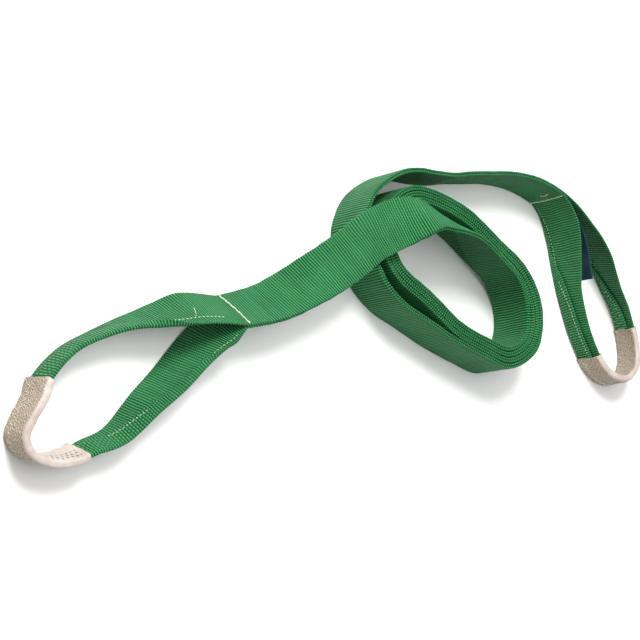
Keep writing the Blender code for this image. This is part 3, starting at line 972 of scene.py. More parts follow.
def node_group(name: str, inputs: dict, outputs: tuple) -> tuple:
    """An empty shader node group with named sockets.

    Args:
        name: name of the group.
        inputs: socket name to type and default value.
        outputs: names of its sockets, all of one number.

    Returns:
        The group, its input node and its output node.
    """
    group = bpy.data.node_groups.new(name, "ShaderNodeTree")
    for label, (kind, value) in inputs.items():
        socket = group.interface.new_socket(name=label, in_out="INPUT", socket_type=kind)
        if value is not None:
            socket.default_value = value
    for label in outputs:
        group.interface.new_socket(name=label, in_out="OUTPUT", socket_type="NodeSocketFloat")
    return group, group.nodes.new("NodeGroupInput"), group.nodes.new("NodeGroupOutput")


@dataclass
class Wiring:
    """Short ways to add and join shader nodes in one tree."""

    tree: bpy.types.NodeTree

    def math(self, operation: str, a: object, b: object = 0.0, clamp: bool = False) -> bpy.types.NodeSocket:
        """A Math node of two values or sockets.

        Args:
            operation: what the node works out.
            a: first value or socket.
            b: second one.
            clamp: hold the result between 0 and 1.

        Returns:
            The result.
        """
        node = self.tree.nodes.new("ShaderNodeMath")
        node.operation = operation
        node.use_clamp = clamp
        for slot, value in zip(node.inputs, (a, b)):
            self.feed(slot, value)
        return node.outputs[0]

    def times(self, a: object, b: object) -> bpy.types.NodeSocket:
        """The product of two values or sockets."""
        return self.math("MULTIPLY", a, b)

    def plus(self, a: object, b: object) -> bpy.types.NodeSocket:
        """The sum of two values or sockets."""
        return self.math("ADD", a, b)

    def minus(self, a: object, b: object) -> bpy.types.NodeSocket:
        """The first value or socket less the second."""
        return self.math("SUBTRACT", a, b)

    def over(self, a: object, b: object) -> bpy.types.NodeSocket:
        """The first value or socket divided by the second."""
        return self.math("DIVIDE", a, b)

    def lifted(self, wave: object) -> bpy.types.NodeSocket:
        """A wave from -1 to 1 brought to run from 0 to 1.

        Args:
            wave: the wave.

        Returns:
            The result.
        """
        half = self.math("MULTIPLY_ADD", wave, 0.5)
        half.node.inputs[2].default_value = 0.5
        return half

    def give(self, node: bpy.types.Node, **values: object) -> None:
        """Feed sockets of a node, each named with _ for a space."""
        for label, value in values.items():
            self.feed(node.inputs[label.replace("_", " ")], value)

    def feed(self, slot: bpy.types.NodeSocket, value: object) -> None:
        """Join a socket to a socket, or set its value.

        Args:
            slot: the socket to feed.
            value: a value or another socket.
        """
        if isinstance(value, bpy.types.NodeSocket):
            self.tree.links.new(value, slot)
        else:
            slot.default_value = value

    def noise(self, vector: object, scale: object, detail: float = 2.0,
              rough: float = 0.5) -> bpy.types.NodeSocket:
        """Noise from 0 to 1 on a vector.

        Args:
            vector: where it is read.
            scale: how fine it is.
            detail: octaves.
            rough: share of the finer octaves.

        Returns:
            The noise.
        """
        node = self.tree.nodes.new("ShaderNodeTexNoise")
        self.give(node, Vector=vector, Scale=scale, Detail=detail, Roughness=rough)
        return node.outputs["Fac"]

    def spread(self, value: object, low: float, high: float, to_low: float = 0.0,
               to_high: float = 1.0) -> bpy.types.NodeSocket:
        """Map a range of values to another, held at its ends.

        Args:
            value: value or socket.
            low: lower end of its range.
            high: upper end.
            to_low: result at the lower end.
            to_high: result at the upper end.

        Returns:
            The result.
        """
        node = self.tree.nodes.new("ShaderNodeMapRange")
        for slot, number in zip(node.inputs, (value, low, high, to_low, to_high)):
            self.feed(slot, number)
        return node.outputs[0]

    def blend(self, share: object, first: object, second: object, way: str = "MIX") -> bpy.types.NodeSocket:
        """Mix two colours.

        Args:
            share: share of the second colour.
            first: first colour or socket.
            second: second one.
            way: blend mode.

        Returns:
            The colour.
        """
        node = self.tree.nodes.new("ShaderNodeMix")
        node.data_type = "RGBA"
        node.blend_type = way
        self.feed(node.inputs["Factor"], share)
        self.feed(node.inputs["A"], first)
        self.feed(node.inputs["B"], second)
        return node.outputs["Result"]

    def coordinates(self, name: str) -> bpy.types.NodeSocket:
        """One output of Texture Coordinate."""
        return self.tree.nodes.new("ShaderNodeTexCoord").outputs[name]

    def split(self, vector: object) -> tuple:
        """The three numbers of a vector.

        Args:
            vector: the vector.

        Returns:
            Its x, y and z.
        """
        node = self.tree.nodes.new("ShaderNodeSeparateXYZ")
        self.feed(node.inputs[0], vector)
        return node.outputs[0], node.outputs[1], node.outputs[2]

    def join(self, x: object, y: object, z: object = 0.0) -> bpy.types.NodeSocket:
        """A vector of three numbers.

        Args:
            x: first number.
            y: second number.
            z: third number.

        Returns:
            The vector.
        """
        node = self.tree.nodes.new("ShaderNodeCombineXYZ")
        for slot, value in zip(node.inputs, (x, y, z)):
            self.feed(slot, value)
        return node.outputs[0]


def weave_group() -> bpy.types.NodeTree:
    """Ribs across a web and the knuckles of yarn along each rib, from a UV in metres.

    Returns:
        The group.
    """
    group, given, result = node_group(
        "rib_weave",
        {"UV": ("NodeSocketVector", None), "Rib pitch": ("NodeSocketFloat", 0.0033),
         "Yarn pitch": ("NodeSocketFloat", 0.0021)},
        ("Height", "Rib", "Yarn", "Row"),
    )
    wire = Wiring(group)
    length, round_way, _ = wire.split(given.outputs["UV"])
    uneven = wire.noise(given.outputs["UV"], 210.0, 2.0)
    uneven = wire.times(wire.minus(uneven, 0.5), 0.28)
    turns = wire.over(length, given.outputs["Rib pitch"])
    wave = wire.math("COSINE", wire.times(turns, 2 * math.pi))
    rib = wire.lifted(wave)
    row = wire.math("FLOOR", wire.plus(turns, 0.5))
    odd = wire.times(wire.math("MODULO", row, 2.0), 0.5)
    strand = wire.plus(wire.over(round_way, given.outputs["Yarn pitch"]), odd)
    lean = wire.times(wave, 0.12)
    strand = wire.plus(wire.plus(strand, lean), uneven)
    yarn = wire.math("ABSOLUTE", wire.math("SINE", wire.times(strand, math.pi)))
    height = wire.times(wire.math("POWER", yarn, 0.6), wire.math("POWER", rib, 0.5))
    for label, value in (("Height", height), ("Rib", rib), ("Yarn", yarn), ("Row", row)):
        group.links.new(value, result.inputs[label])
    return group


def wear_group() -> bpy.types.NodeTree:
    """Slow drift of colour and fine specks over a surface, from Object coordinates.

    Returns:
        The group.
    """
    group, given, result = node_group(
        "cloth_wear",
        {"Place": ("NodeSocketVector", None), "Patch size": ("NodeSocketFloat", 22.0)},
        ("Patch", "Speck", "Fibre"),
    )
    wire = Wiring(group)
    patch = wire.noise(given.outputs["Place"], given.outputs["Patch size"], 3.0)
    speck = wire.spread(wire.noise(given.outputs["Place"], 900.0, 1.0), 0.60, 0.74)
    fibre = wire.noise(given.outputs["Place"], 2600.0, 2.0, 0.7)
    group.links.new(wire.spread(patch, 0.32, 0.68), result.inputs["Patch"])
    group.links.new(speck, result.inputs["Speck"])
    group.links.new(fibre, result.inputs["Fibre"])
    return group


@dataclass
class Finishes:
    """The shared node groups and the materials of the sling."""

    weave: bpy.types.NodeTree = field(default_factory=weave_group)
    wear: bpy.types.NodeTree = field(default_factory=wear_group)

    @staticmethod
    def blank(name: str) -> tuple[bpy.types.Material, Wiring, bpy.types.Node]:
        """A material, its wiring and its Principled shader.

        Args:
            name: name of the material.

        Returns:
            The material, its wiring and its shader.
        """
        material = bpy.data.materials.new(name)
        material.use_nodes = True
        return material, Wiring(material.node_tree), material.node_tree.nodes["Principled BSDF"]

    @staticmethod
    def placed(wire: Wiring, group: bpy.types.NodeTree, **sockets: object) -> bpy.types.Node:
        """One of the shared groups placed in a material.

        Args:
            wire: wiring of the material.
            group: the shared group.
            **sockets: what feeds its sockets.

        Returns:
            The group's node.
        """
        node = wire.tree.nodes.new("ShaderNodeGroup")
        node.node_tree = group
        wire.give(node, **sockets)
        return node

    @staticmethod
    def bump(wire: Wiring, height: object, distance: float, strength: float = 1.0) -> bpy.types.NodeSocket:
        """A Bump node's normal.

        Args:
            wire: wiring of the material.
            height: the relief.
            distance: depth of the relief.
            strength: share of it that shows.

        Returns:
            The normal.
        """
        node = wire.tree.nodes.new("ShaderNodeBump")
        wire.give(node, Strength=strength, Distance=distance, Height=height)
        return node.outputs["Normal"]


@dataclass(frozen=True)
class WebFinish:
    """Green polyester webbing: painted shade in the grooves, painted highlight on the rib tops, knuckles of
    yarn and a little fading.
    """

    name: str = "green_ribbed_webbing"
    # deep is the painted shade in the rib grooves; light is the painted highlight on the rib tops and also
    # the colour of pale specks.
    deep: tuple = (0.0008, 0.022, 0.0060, 1.0)
    body: tuple = (0.0050, 0.150, 0.0330, 1.0)
    light: tuple = (0.040, 0.400, 0.125, 1.0)
    faded: tuple = (0.050, 0.270, 0.100, 1.0)

    def build(self, kit: Finishes) -> bpy.types.Material:
        """Make the material.

        Args:
            kit: the shared node groups.

        Returns:
            The material.
        """
        material, wire, shader = kit.blank(self.name)
        uv = wire.coordinates("UV")
        place = wire.coordinates("Object")
        weave = kit.placed(wire, kit.weave, UV=uv, Rib_pitch=RIB_PITCH)
        wear = kit.placed(wire, kit.wear, Place=place)
        # Painted shade and painted highlight: the grooves between the ribs darken to deep and the rib tops
        # lighten to light.
        rise = wire.times(weave.outputs["Rib"], weave.outputs["Height"])
        colour = wire.blend(wire.spread(rise, 0.04, 0.50), self.deep, self.body)
        colour = wire.blend(wire.spread(rise, 0.42, 0.95, 0.0, 0.95), colour, self.light)
        fade = wire.times(wear.outputs["Patch"], 0.22)
        colour = wire.blend(fade, colour, self.faded)
        row_tone = wire.noise(wire.join(wire.times(weave.outputs["Row"], 0.37), 0.0), 4.0, 0.0)
        shade = wire.spread(row_tone, 0.25, 0.75, 0.84, 1.10)
        dull = wire.blend(1.0, colour, wire.join(shade, shade, shade), "MULTIPLY")
        colour = wire.blend(wire.times(wear.outputs["Speck"], 0.35), dull, self.light)
        relief = wire.plus(weave.outputs["Height"], wire.times(wear.outputs["Fibre"], 0.30))
        wire.give(shader, Base_Color=colour, Normal=kit.bump(wire, relief, 0.00055),
                  Roughness=wire.spread(weave.outputs["Height"], 0.0, 1.0, 0.78, 0.56),
                  Specular_IOR_Level=0.30, Sheen_Weight=0.05, Sheen_Roughness=0.40)
        return material


@dataclass(frozen=True)
class LeatherFinish:
    """Undyed split leather: a rough napped side with short raised strands, and a smooth pale side.

    The smooth side runs between two distances round the tube, and the needle holes lie in a patch of it,
    painted as dark spots of shade.
    """

    name: str
    smooth_from: float
    smooth_to: float
    hole_patch: tuple
    nap: tuple = (0.430, 0.345, 0.245, 1.0)
    nap_dark: tuple = (0.190, 0.138, 0.090, 1.0)
    nap_light: tuple = (0.590, 0.510, 0.390, 1.0)
    skin: tuple = (0.450, 0.375, 0.335, 1.0)
    skin_light: tuple = (0.560, 0.500, 0.460, 1.0)
    skin_dark: tuple = (0.350, 0.280, 0.240, 1.0)
    # Colour of the painted shade inside the needle holes.
    needle_hole_shade: tuple = (0.070, 0.050, 0.038, 1.0)
    blur: float = 0.0012
    row_pitch: float = 0.0060
    hole_pitch: float = 0.0058

    def build(self, kit: Finishes) -> bpy.types.Material:
        """Make the material.

        Args:
            kit: the shared node groups.

        Returns:
            The material.
        """
        material, wire, shader = kit.blank(self.name)
        place = wire.coordinates("Object")
        wear = kit.placed(wire, kit.wear, Place=place, Patch_size=38.0)
        length, round_way, _ = wire.split(wire.coordinates("UV"))
        wobble = wire.times(wire.minus(wire.noise(place, 60.0), 0.5), 0.0040)
        edge = wire.plus(round_way, wobble)
        smooth = wire.times(
            wire.spread(edge, self.smooth_from - self.blur, self.smooth_from + self.blur),
            wire.spread(edge, self.smooth_to - self.blur, self.smooth_to + self.blur, 1.0, 0.0))
        rough = wire.minus(1.0, smooth)
        strands = self.strands(wire, length, round_way, place)
        nap = wire.blend(wire.spread(strands, 0.22, 0.80), self.nap_dark, self.nap_light)
        nap = wire.blend(0.20, nap, self.nap)
        nap = wire.blend(wire.times(wear.outputs["Patch"], 0.30), nap, self.skin)
        skin = wire.blend(wear.outputs["Patch"], self.skin, self.skin_light)
        crease = wire.noise(wire.join(wire.times(length, 3.2), round_way), 90.0, 3.0, 0.6)
        skin = wire.blend(wire.spread(crease, 0.56, 0.80, 0.0, 0.45), skin, self.skin_dark)
        colour = wire.blend(rough, skin, nap)
        holes = self.holes(wire, length, round_way)
        # Painted shade: each needle hole is a dark spot standing for the shade inside it.
        colour = wire.blend(holes, colour, self.needle_hole_shade)
        grain = wire.noise(place, 620.0, 4.0, 0.6)
        relief = wire.plus(wire.times(wire.times(strands, rough), 1.6),
                           wire.plus(wire.times(grain, 0.55), wire.times(holes, -2.0)))
        wire.give(shader, Base_Color=colour, Normal=kit.bump(wire, relief, 0.00080),
                  Roughness=wire.spread(rough, 0.0, 1.0, 0.50, 0.92),
                  Specular_IOR_Level=0.35, Sheen_Weight=0.12)
        return material

    @staticmethod
    def strands(wire: Wiring, length: object, round_way: object, place: object) -> bpy.types.NodeSocket:
        """Short slanted strands in a loose herringbone, broken up by noise.

        Args:
            wire: wiring of the material.
            length: length along the tube.
            round_way: distance round it.
            place: place on the object.

        Returns:
            Height of the strands.
        """
        column = wire.over(round_way, 0.0060)
        slant = wire.math("ABSOLUTE", wire.minus(wire.math("FRACT", column), 0.5))
        turns = wire.plus(wire.over(length, 0.0036), wire.times(slant, 1.9))
        loose = wire.times(wire.minus(wire.noise(place, 150.0, 2.0), 0.5), 2.2)
        wave = wire.math("SINE", wire.times(wire.plus(turns, loose), 2 * math.pi))
        fuzz = wire.noise(place, 700.0, 3.0, 0.7)
        level = wire.plus(wire.times(wave, 0.34), 0.08)
        return wire.math("ADD", level, wire.times(fuzz, 0.85), clamp=True)

    def holes(self, wire: Wiring, length: object, round_way: object) -> bpy.types.NodeSocket:
        """Staggered rows of needle holes in the patch: the mask of their painted shade and of their dent in
        the bump.

        Args:
            wire: wiring of the material.
            length: length along the tube.
            round_way: distance round it.

        Returns:
            A share, 1 in a hole.
        """
        along_from, along_to, round_from, round_to = self.hole_patch
        y = wire.over(round_way, self.row_pitch)
        stagger = wire.times(wire.math("MODULO", wire.math("FLOOR", y), 2.0), 0.5)
        x = wire.plus(wire.over(length, self.hole_pitch), stagger)
        dx = wire.minus(wire.math("FRACT", x), 0.5)
        dy = wire.minus(wire.math("FRACT", y), 0.5)
        far = wire.math("SQRT", wire.plus(wire.times(dx, dx), wire.times(dy, dy)))
        inside = wire.times(wire.math("GREATER_THAN", round_way, round_from),
                            wire.math("LESS_THAN", round_way, round_to))
        along = wire.times(wire.math("GREATER_THAN", length, along_from),
                           wire.math("LESS_THAN", length, along_to))
        return wire.times(wire.spread(far, 0.14, 0.24, 1.0, 0.0), wire.times(inside, along))


@dataclass(frozen=True)
class ThreadFinish:
    """Cream sewing thread with its twist showing."""

    name: str = "cream_sewing_thread"
    light: tuple = (0.820, 0.790, 0.640, 1.0)
    dark: tuple = (0.480, 0.440, 0.310, 1.0)

    def build(self, kit: Finishes) -> bpy.types.Material:
        """Make the material.

        Args:
            kit: the shared node groups.

        Returns:
            The material.
        """
        material, wire, shader = kit.blank(self.name)
        place = wire.coordinates("Object")
        x, y, z = wire.split(place)
        slant = wire.plus(wire.times(x, 2600.0), wire.times(wire.plus(y, z), 4200.0))
        twist = wire.lifted(wire.math("SINE", slant))
        dirt = wire.noise(place, 160.0, 2.0)
        colour = wire.blend(wire.spread(twist, 0.0, 0.6), self.dark, self.light)
        colour = wire.blend(wire.spread(dirt, 0.50, 0.75, 0.0, 0.5), colour, self.dark)
        wire.give(shader, Base_Color=colour, Roughness=wire.spread(twist, 0.0, 1.0, 0.80, 0.55),
                  Normal=kit.bump(wire, twist, 0.00012, 0.7))
        return material


@dataclass(frozen=True)
class LabelFinish:
    """Blank navy label tape, finely woven, with paler worn patches; its paler hem is not painted."""

    name: str = "navy_label_tape"
    deep: tuple = (0.004, 0.018, 0.040, 1.0)
    body: tuple = (0.012, 0.058, 0.092, 1.0)
    worn: tuple = (0.070, 0.135, 0.165, 1.0)
    yarn: float = 0.0007

    def build(self, kit: Finishes) -> bpy.types.Material:
        """Make the material.

        Args:
            kit: the shared node groups.

        Returns:
            The material.
        """
        material, wire, shader = kit.blank(self.name)
        length, round_way, _ = wire.split(wire.coordinates("UV"))
        place = wire.coordinates("Object")
        wear = kit.placed(wire, kit.wear, Place=place, Patch_size=45.0)
        warp, weft = (wire.math("ABSOLUTE", wire.math("SINE", wire.times(way, math.pi / self.yarn)))
                      for way in (length, round_way))
        cloth = wire.times(warp, weft)
        colour = wire.blend(wire.spread(cloth, 0.1, 0.9), self.deep, self.body)
        colour = wire.blend(wire.times(wear.outputs["Patch"], 0.30), colour, self.worn)
        wire.give(shader, Base_Color=colour, Roughness=wire.spread(cloth, 0.0, 1.0, 0.72, 0.48),
                  Normal=kit.bump(wire, cloth, 0.00010, 0.6), Specular_IOR_Level=0.45)
        return material


@dataclass(frozen=True)
class FloorFinish:
    """Plain pale studio floor."""

    name: str = "pale_studio_floor"
    tone: tuple = (0.90, 0.90, 0.895, 1.0)
    pale: tuple = (0.92, 0.92, 0.915, 1.0)

    def build(self, kit: Finishes) -> bpy.types.Material:
        """Make the material.

        Args:
            kit: the shared node groups.

        Returns:
            The material.
        """
        material, wire, shader = kit.blank(self.name)
        drift = wire.noise(wire.coordinates("Object"), 1.5, 2.0)
        colour = wire.blend(wire.spread(drift, 0.3, 0.7), self.tone, self.pale)
        wire.give(shader, Base_Color=colour, Roughness=0.75, Specular_IOR_Level=0.2)
        return material


# --- pieces --------------------------------------------------------------------------------------

@dataclass
class BendZone:
    """A stretch of web that bends where two bodies meet."""

    first_body: str
    second_body: str
    start: tuple
    end: tuple

    def bend(self, piece: bpy.types.Object) -> None:
        """Bake a piece's transform into its mesh; it is not made to follow either body."""
        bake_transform(piece)


@dataclass
class Sling:
    """What the sub-assemblies share: the route, the finishes and the bend zones."""

    route: SlingRoute
    web: bpy.types.Material
    thread: bpy.types.Material
    near_lift: BendZone
    near_eye_lift: BendZone
    far_swing: BendZone
    far_eye_swing: BendZone

    @staticmethod
    def dress(piece: bpy.types.Object, material: bpy.types.Material, slot: str) -> bpy.types.Object:
        """Give a piece its finish.

        Args:
            piece: the piece.
            material: its finish.
            slot: name of its material slot; not used.

        Returns:
            The same piece.
        """
        piece.data.materials.clear()
        piece.data.materials.append(material)
        LOG.info("%s: %d faces", piece.name, len(piece.data.polygons))
        return piece

    def stitched(self, row: StitchRow) -> bpy.types.Object:
        """Build a row of stitches and give it its thread."""
        return self.dress(row.build(), self.thread, "thread")


def point_on(lay: Lay, place: float) -> tuple:
    """Middle of a web at a distance along it."""
    return tuple(float(v) for v in lay.at(np.array([place])).middle[0])


@dataclass
class Coil:
    """The coiled body of the band, from one tail to the other."""

    sling: Sling

    def build(self) -> None:
        """Make both plies of the coil."""
        route = self.sling.route
        first, last = route.near_hinge + BEND_BEFORE, route.far_hinge - BEND_BEFORE
        for name, sign, seed in (("coil_outer_ply", 1, 11), ("coil_inner_ply", -1, 12)):
            stretch = route.band.shifted(sign * PLY_OFFSET)
            share = stretch.lengths()[-1] / route.length
            lay = stretch.part(first * share, last * share, ROW_SPACING).ribbed()
            piece = WovenWeb(name + "_web", lay, seed).build()
            self.sling.dress(piece, self.sling.web, "webbing")
            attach(piece, "coil")
            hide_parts(name)
            float(lay.lengths()[-1])


@dataclass
class Tail:
    """One tail of the band, between the coil and an eye."""

    sling: Sling
    names: tuple
    first: float
    last: float
    zone: BendZone
    seed: int

    def build(self) -> None:
        """Make both plies of the tail."""
        route = self.sling.route
        for name, sign in zip(self.names, (1, -1)):
            stretch = route.band.shifted(sign * PLY_OFFSET)
            share = stretch.lengths()[-1] / route.length
            lay = stretch.part(self.first * share, self.last * share, ROW_SPACING).ribbed()
            piece = WovenWeb(name + "_web", lay, self.seed + sign).build()
            self.sling.dress(piece, self.sling.web, "webbing")
            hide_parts(name)
            float(lay.lengths()[-1])
            self.zone.bend(piece)


@dataclass
class Eye:
    """One eye: two folded legs, the leather sleeve round the bearing point and all its sewing."""

    sling: Sling
    end: str
    lay: Lay
    lead_out: Lay
    lead_back: Lay
    zone: BendZone
    fold_edge: Side
    seams: tuple
    leather: bpy.types.Material
    seed: int
    sleeve_length: float = 0.150
    tucked_in: float = 0.016

    def build(self) -> None:
        """Make the legs, the sleeve and the sewing."""
        run = self.lay.lengths()
        middle = run[int(np.argmax(np.linalg.norm(self.lay.middle - self.lay.middle[0], axis=1)))]
        first, last = middle - self.sleeve_length / 2, middle + self.sleeve_length / 2
        ways = {
            Leg.OUT: self.lead_out.then(self.lay.part(0.0, first + self.tucked_in, ROW_SPACING)),
            Leg.BACK: self.lay.part(last - self.tucked_in, float(run[-1]),
                                    ROW_SPACING).then(self.lead_back),
        }
        faces = {Leg.OUT: Side.MINUS, Leg.BACK: Side.PLUS}
        for leg, way in ways.items():
            folded = FoldedLeg(f"{self.end}_eye_leg_{leg.value}", way.ribbed(), self.fold_edge, faces[leg])
            piece = self.sling.dress(folded.build(), self.sling.web, "webbing")
            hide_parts(f"{self.end}_eye_web")
            float(way.lengths()[-1])
            self.zone.bend(piece)
            self.sew_fold(folded, leg)
        self.cover(first, last)

    def sew_fold(self, folded: FoldedLeg, leg: Leg) -> None:
        """The row of stitches that holds a leg's fold down.

        Args:
            folded: the leg.
            leg: which of the two it is.
        """
        plan = next(seam for seam in self.seams if seam.leg is leg)
        count = len(folded.lay.middle)
        share = np.clip((np.linspace(0, 1, count) - plan.first) / (plan.last - plan.first), 0, 1)
        from_fold = plan.fold_first + (plan.fold_last - plan.fold_first) * share
        line, normals = folded.seam_line(from_fold, inset=0.0030, above=0.0002)
        rows = slice(int(plan.first * count), int(plan.last * count))
        seam = StitchRow(f"{self.end}_eye_{leg.value}_seam", line[rows], normals[rows], plan.stitch, plan.gap,
                         plan.radius, skew=9.0, seed=self.seed + len(leg.value))
        piece = self.sling.stitched(seam)
        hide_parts(f"{self.end}_eye_seam_{leg.value}")
        self.zone.bend(piece)

    def cover(self, first: float, last: float) -> None:
        """The leather sleeve and its sewing.

        Args:
            first: distance along the eye's web at which the sleeve starts.
            last: distance at which it ends.
        """
        tube = LeatherTube(f"{self.end}_leather_sleeve", self.lay.part(first, last, 0.0011), self.seed)
        piece = self.sling.dress(tube.build(), self.leather, "sleeve")
        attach(piece, f"{self.end}_eye")
        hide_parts(f"{self.end}_sleeve")
        line, normals = tube.line(-0.009, 0.0042, 0.04, 0.96, 37)
        sewing = StitchRow(f"{self.end}_sleeve_zigzag", line, normals, 0.006, 0.001, 0.00042, skew=0.0,
                           seed=self.seed, between=True)
        piece = self.sling.stitched(sewing)
        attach(piece, f"{self.end}_eye")
        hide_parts(f"{self.end}_sleeve_thread")


@dataclass(frozen=True)
class FoldSeam:
    """How the fold of one leg is sewn: which part of the leg, and the size of the stitches."""

    leg: Leg
    first: float
    last: float
    stitch: float
    gap: float
    radius: float
    fold_first: float
    fold_last: float


@dataclass
class JoinSeam:
    """The heavy seam across the band where an eye is joined to it."""

    sling: Sling
    name: str
    node: str
    lay: Lay
    place: float
    face: Side
    zone: BendZone
    bow: float
    seed: int
    stitches: int = 12
    reach: float = 0.93

    def build(self) -> None:
        """Sew the row across the band's face."""
        share = np.linspace(-self.reach, self.reach, 40)
        rows = self.lay.at(self.place + self.bow * (1 - share ** 2))
        lift = self.face.value * (BAND / 2 + THREAD_CLEAR)
        line = rows.middle + rows.across * (share * WEB_WIDTH / 2)[:, None] + rows.normal * lift
        normals = rows.normal * self.face.value
        length = WEB_WIDTH * self.reach / self.stitches
        row = StitchRow(self.name, line, normals, length * 1.25, -length * 0.25, 0.00075, skew=13.0,
                        seed=self.seed)
        piece = self.sling.stitched(row)
        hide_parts(self.node)
        self.zone.bend(piece)


@dataclass
class Label:
    """The blank label sewn in between the far eye's legs, with a hem at its free end."""

    sling: Sling
    finish: bpy.types.Material
    half: float = 0.00045
    hem: float = 0.009

    def build(self) -> None:
        """Make the label."""
        lay = self.sling.route.label
        lay = lay.part(0.0, float(lay.lengths()[-1]), 0.0015)
        run = lay.lengths()
        wide = lay.width / 2 - 0.0004
        hemmed = 1 / (1 + np.exp(-(run - run[-1] + self.hem) / 0.0004))
        thick = self.half * (1 + 0.30 * hemmed)
        droop = 0.0012 * np.sin(np.linspace(0, 2.4, len(run)))
        share = np.concatenate((np.linspace(1, -1, 13), [-1.02], np.linspace(-1, 1, 13), [1.02], [1.0]))
        face = np.concatenate((np.ones(13), [0.0], -np.ones(13), [0.0], [1.0]))
        side = wide[:, None] * share[None, :]
        belly = droop[:, None] * (1 - share[None, :] ** 2)
        lift = thick[:, None] * face[None, :] + belly
        round_way = np.concatenate(([0.0], np.cumsum(np.abs(np.diff(share)) * LABEL_WIDTH / 2 + 0.0001)))
        tape = rolled_sheet("blank_label", lay.points(side, lift), run, round_way)
        piece = self.sling.dress(tape, self.finish, "label")
        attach(piece, "label_tag")
        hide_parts("label")


def main() -> None:
    """Build the sling and the scene."""
    logging.basicConfig(level=logging.INFO, format="%(message)s")
    kit = Finishes()
    web, thread = WebFinish().build(kit), ThreadFinish().build(kit)
    route = SlingRoute()
    band, total = route.band, route.length
    sling = Sling(
        route, web, thread,
        BendZone("coil", "near_tail", point_on(band, route.near_hinge + BEND_BEFORE - SEAM_CLEAR),
                 point_on(band, route.near_hinge - BEND_AFTER)),
        BendZone("near_tail", "near_eye", point_on(band, BEND_BEFORE - SEAM_CLEAR),
                 tuple(np.array(point_on(band, 0.0)) - BEND_AFTER * band.along()[0])),
        BendZone("coil", "far_tail", point_on(band, route.far_hinge - BEND_BEFORE),
                 point_on(band, route.far_hinge + BEND_AFTER)),
        BendZone("far_tail", "far_eye", point_on(band, total - BEND_BEFORE),
                 tuple(np.array(point_on(band, total)) + BEND_AFTER_FAR_JOIN * band.along()[-1])),
    )
    Coil(sling).build()
    Tail(sling, ("near_tail_upper_ply", "near_tail_lower_ply"), BEND_BEFORE, route.near_hinge + BEND_BEFORE,
         sling.near_lift, 21).build()
    Tail(sling, ("far_tail_outer_ply", "far_tail_inner_ply"), route.far_hinge - BEND_BEFORE,
         total - BEND_BEFORE, sling.far_swing, 31).build()
    build_eyes(sling, kit)
    Label(sling, LabelFinish().build(kit)).build()
    build_studio(kit)


def build_eyes(sling: Sling, kit: Finishes) -> None:
    """Both eyes and the seams that join them to the band.

    Args:
        sling: what the sub-assemblies share.
        kit: the shared node groups.
    """
    route = sling.route
    starts, ends = {}, {}
    for side in Side:
        ply = route.band.shifted(side.value * PLY_OFFSET)
        ply.thick = np.full_like(ply.thick, PLY)
        total = float(ply.lengths()[-1])
        starts[side] = ply.part(0.0, BEND_BEFORE * total / route.length, ROW_SPACING)
        ends[side] = ply.part(total * (1 - BEND_BEFORE / route.length), total, ROW_SPACING)
    near_leather = LeatherFinish("near_sleeve_leather", 0.0165, 0.070,
                                 (0.006, 0.062, 0.028, 0.046)).build(kit)
    far_leather = LeatherFinish("far_sleeve_leather", 0.0165, 0.027, (0.080, 0.120, 0.018, 0.020),
                                nap=(0.400, 0.325, 0.265, 1.0)).build(kit)
    Eye(sling, "near", route.near_eye, starts[Side.MINUS].turned(), starts[Side.PLUS], sling.near_eye_lift,
        Side.PLUS, (FoldSeam(Leg.OUT, 0.15, 0.82, 0.0030, 0.0016, 0.00030, 0.004, 0.012),
                    FoldSeam(Leg.BACK, 0.56, 0.83, 0.0034, 0.0014, 0.00036, 0.012, 0.010)),
        near_leather, 41).build()
    Eye(sling, "far", route.far_eye, ends[Side.PLUS], ends[Side.MINUS].turned(), sling.far_eye_swing,
        Side.MINUS, (FoldSeam(Leg.OUT, 0.35, 0.88, 0.0020, 0.0032, 0.00028, 0.006, 0.010),
                     FoldSeam(Leg.BACK, 0.08, 0.86, 0.0030, 0.0018, 0.00032, 0.012, 0.004)),
        far_leather, 51).build()
    JoinSeam(sling, "near_join_seam", "near_join_stitch", route.band, 0.002, Side.PLUS, sling.near_eye_lift,
             0.002, 61).build()
    JoinSeam(sling, "far_join_seam", "far_join_stitch", route.band, route.length - 0.004, Side.MINUS,
             sling.far_eye_swing, 0.002, 62).build()
    loose_ends(sling)


def loose_ends(sling: Sling) -> None:
    """A short start of a seam before the far join, and a thread end standing up at the near eye.

    Args:
        sling: what the sub-assemblies share.
    """
    route = sling.route
    share = np.linspace(-0.05, 0.42, 24)
    rows = route.band.at(route.length - 0.013 + 0.0015 * np.sin(share * 11))
    lift = rows.normal * (BAND / 2 + THREAD_CLEAR)
    line = rows.middle + rows.across * (share * WEB_WIDTH / 2)[:, None] - lift
    piece = sling.stitched(StitchRow("far_join_seam_start", line, -rows.normal, 0.0036, -0.0006, 0.00060,
                                     16.0, 63))
    sling.far_eye_swing.bend(piece)
    eye = route.near_eye
    base = eye.at(np.array([float(eye.lengths()[-1]) - 0.062]))
    foot = base.middle[0] + base.across[0] * 0.0165 + base.normal[0] * 0.0018
    tip = base.normal[0]
    knots = [foot - tip * 0.0012, foot + tip * 0.0030 + base.across[0] * 0.0006,
             foot + tip * 0.0065 - base.across[0] * 0.0022, foot + tip * 0.0085 - base.across[0] * 0.0052]
    thread = loose_thread("near_thread_end", [tuple(float(v) for v in knot) for knot in knots], 0.00032)
    sling.dress(thread, sling.thread, "thread")
    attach(thread, "near_eye")


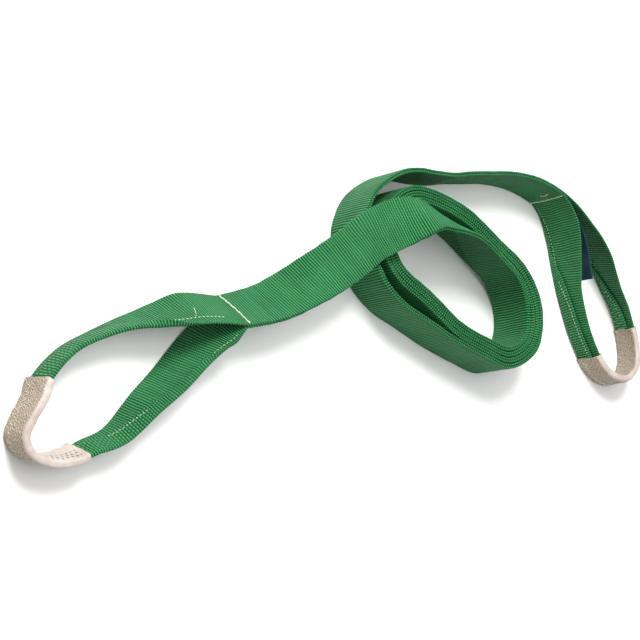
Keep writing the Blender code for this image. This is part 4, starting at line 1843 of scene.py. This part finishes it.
def build_studio(kit: Finishes) -> None:
    """Floor, lights and camera.

    Args:
        kit: the shared node groups.
    """
    deselect()
    bpy.ops.mesh.primitive_plane_add(size=12.0)
    floor = bpy.context.active_object
    floor.name = "studio_floor"
    floor.data.materials.append(FloorFinish().build(kit))
    for name, place, size, power, tone in (
        ("key_light", (-0.35, 1.60, 2.10), 1.2, 92.0, (1.0, 0.985, 0.96)),
        ("top_light", (0.10, 0.10, 2.60), 2.4, 34.0, (1.0, 1.0, 1.0)),
        ("fill_light", (0.20, -1.90, 1.30), 1.8, 5.0, (0.97, 0.985, 1.0)),
        ("camera_fill", (-2.20, 0.10, 1.50), 1.8, 6.0, (1.0, 1.0, 1.0)),
    ):
        lamp = bpy.data.lights.new(name, "AREA")
        lamp.shape = "DISK"
        lamp.size = size
        lamp.energy = power
        lamp.color = tone
        holder = bpy.data.objects.new(name, lamp)
        bpy.context.scene.collection.objects.link(holder)
        holder.location = place
        aim = Vector((0.0, 0.0, 0.02)) - Vector(place)
        holder.rotation_euler = aim.to_track_quat("-Z", "Y").to_euler()
    world = bpy.data.worlds.new("studio_air")
    world.use_nodes = True
    world.node_tree.nodes["Background"].inputs["Color"].default_value = (1.0, 1.0, 1.0, 1.0)
    world.node_tree.nodes["Background"].inputs["Strength"].default_value = 0.27
    bpy.context.scene.world = world
    bpy.context.scene.view_settings.view_transform = "Standard"
    look_from(azimuth=-90.0, elevation=49.0, roll=79.0, distance=2.0, target=(-0.0665, 0.0015, 0.03))


def look_from(azimuth: float, elevation: float, roll: float, distance: float, target: tuple) -> None:
    """Place the camera.

    Args:
        azimuth: degrees round the object; 0 looks along +Y.
        elevation: degrees above the floor.
        roll: degrees that the camera is turned about its own axis.
        distance: metres to the target.
        target: the place it looks at.
    """
    a, e, r = (math.radians(v) for v in (azimuth, elevation, roll))
    back = Vector((math.sin(a) * math.cos(e), -math.cos(a) * math.cos(e), math.sin(e)))
    right = Vector((math.cos(a), math.sin(a), 0.0))
    up = back.cross(right)
    turned_right = right * math.cos(r) + up * math.sin(r)
    turned_up = up * math.cos(r) - right * math.sin(r)
    lens = bpy.data.cameras.new("studio_camera")
    lens.sensor_width = SENSOR_WIDTH
    lens.lens = LENS_LENGTH
    lens.clip_end = 50.0
    holder = bpy.data.objects.new("studio_camera", lens)
    bpy.context.scene.collection.objects.link(holder)
    place = Vector(target) + back * distance
    turn = Matrix((turned_right, turned_up, back)).transposed().to_4x4()
    turn.translation = place
    holder.matrix_world = turn
    bpy.context.scene.camera = holder


if __name__ == "__main__":
    main()
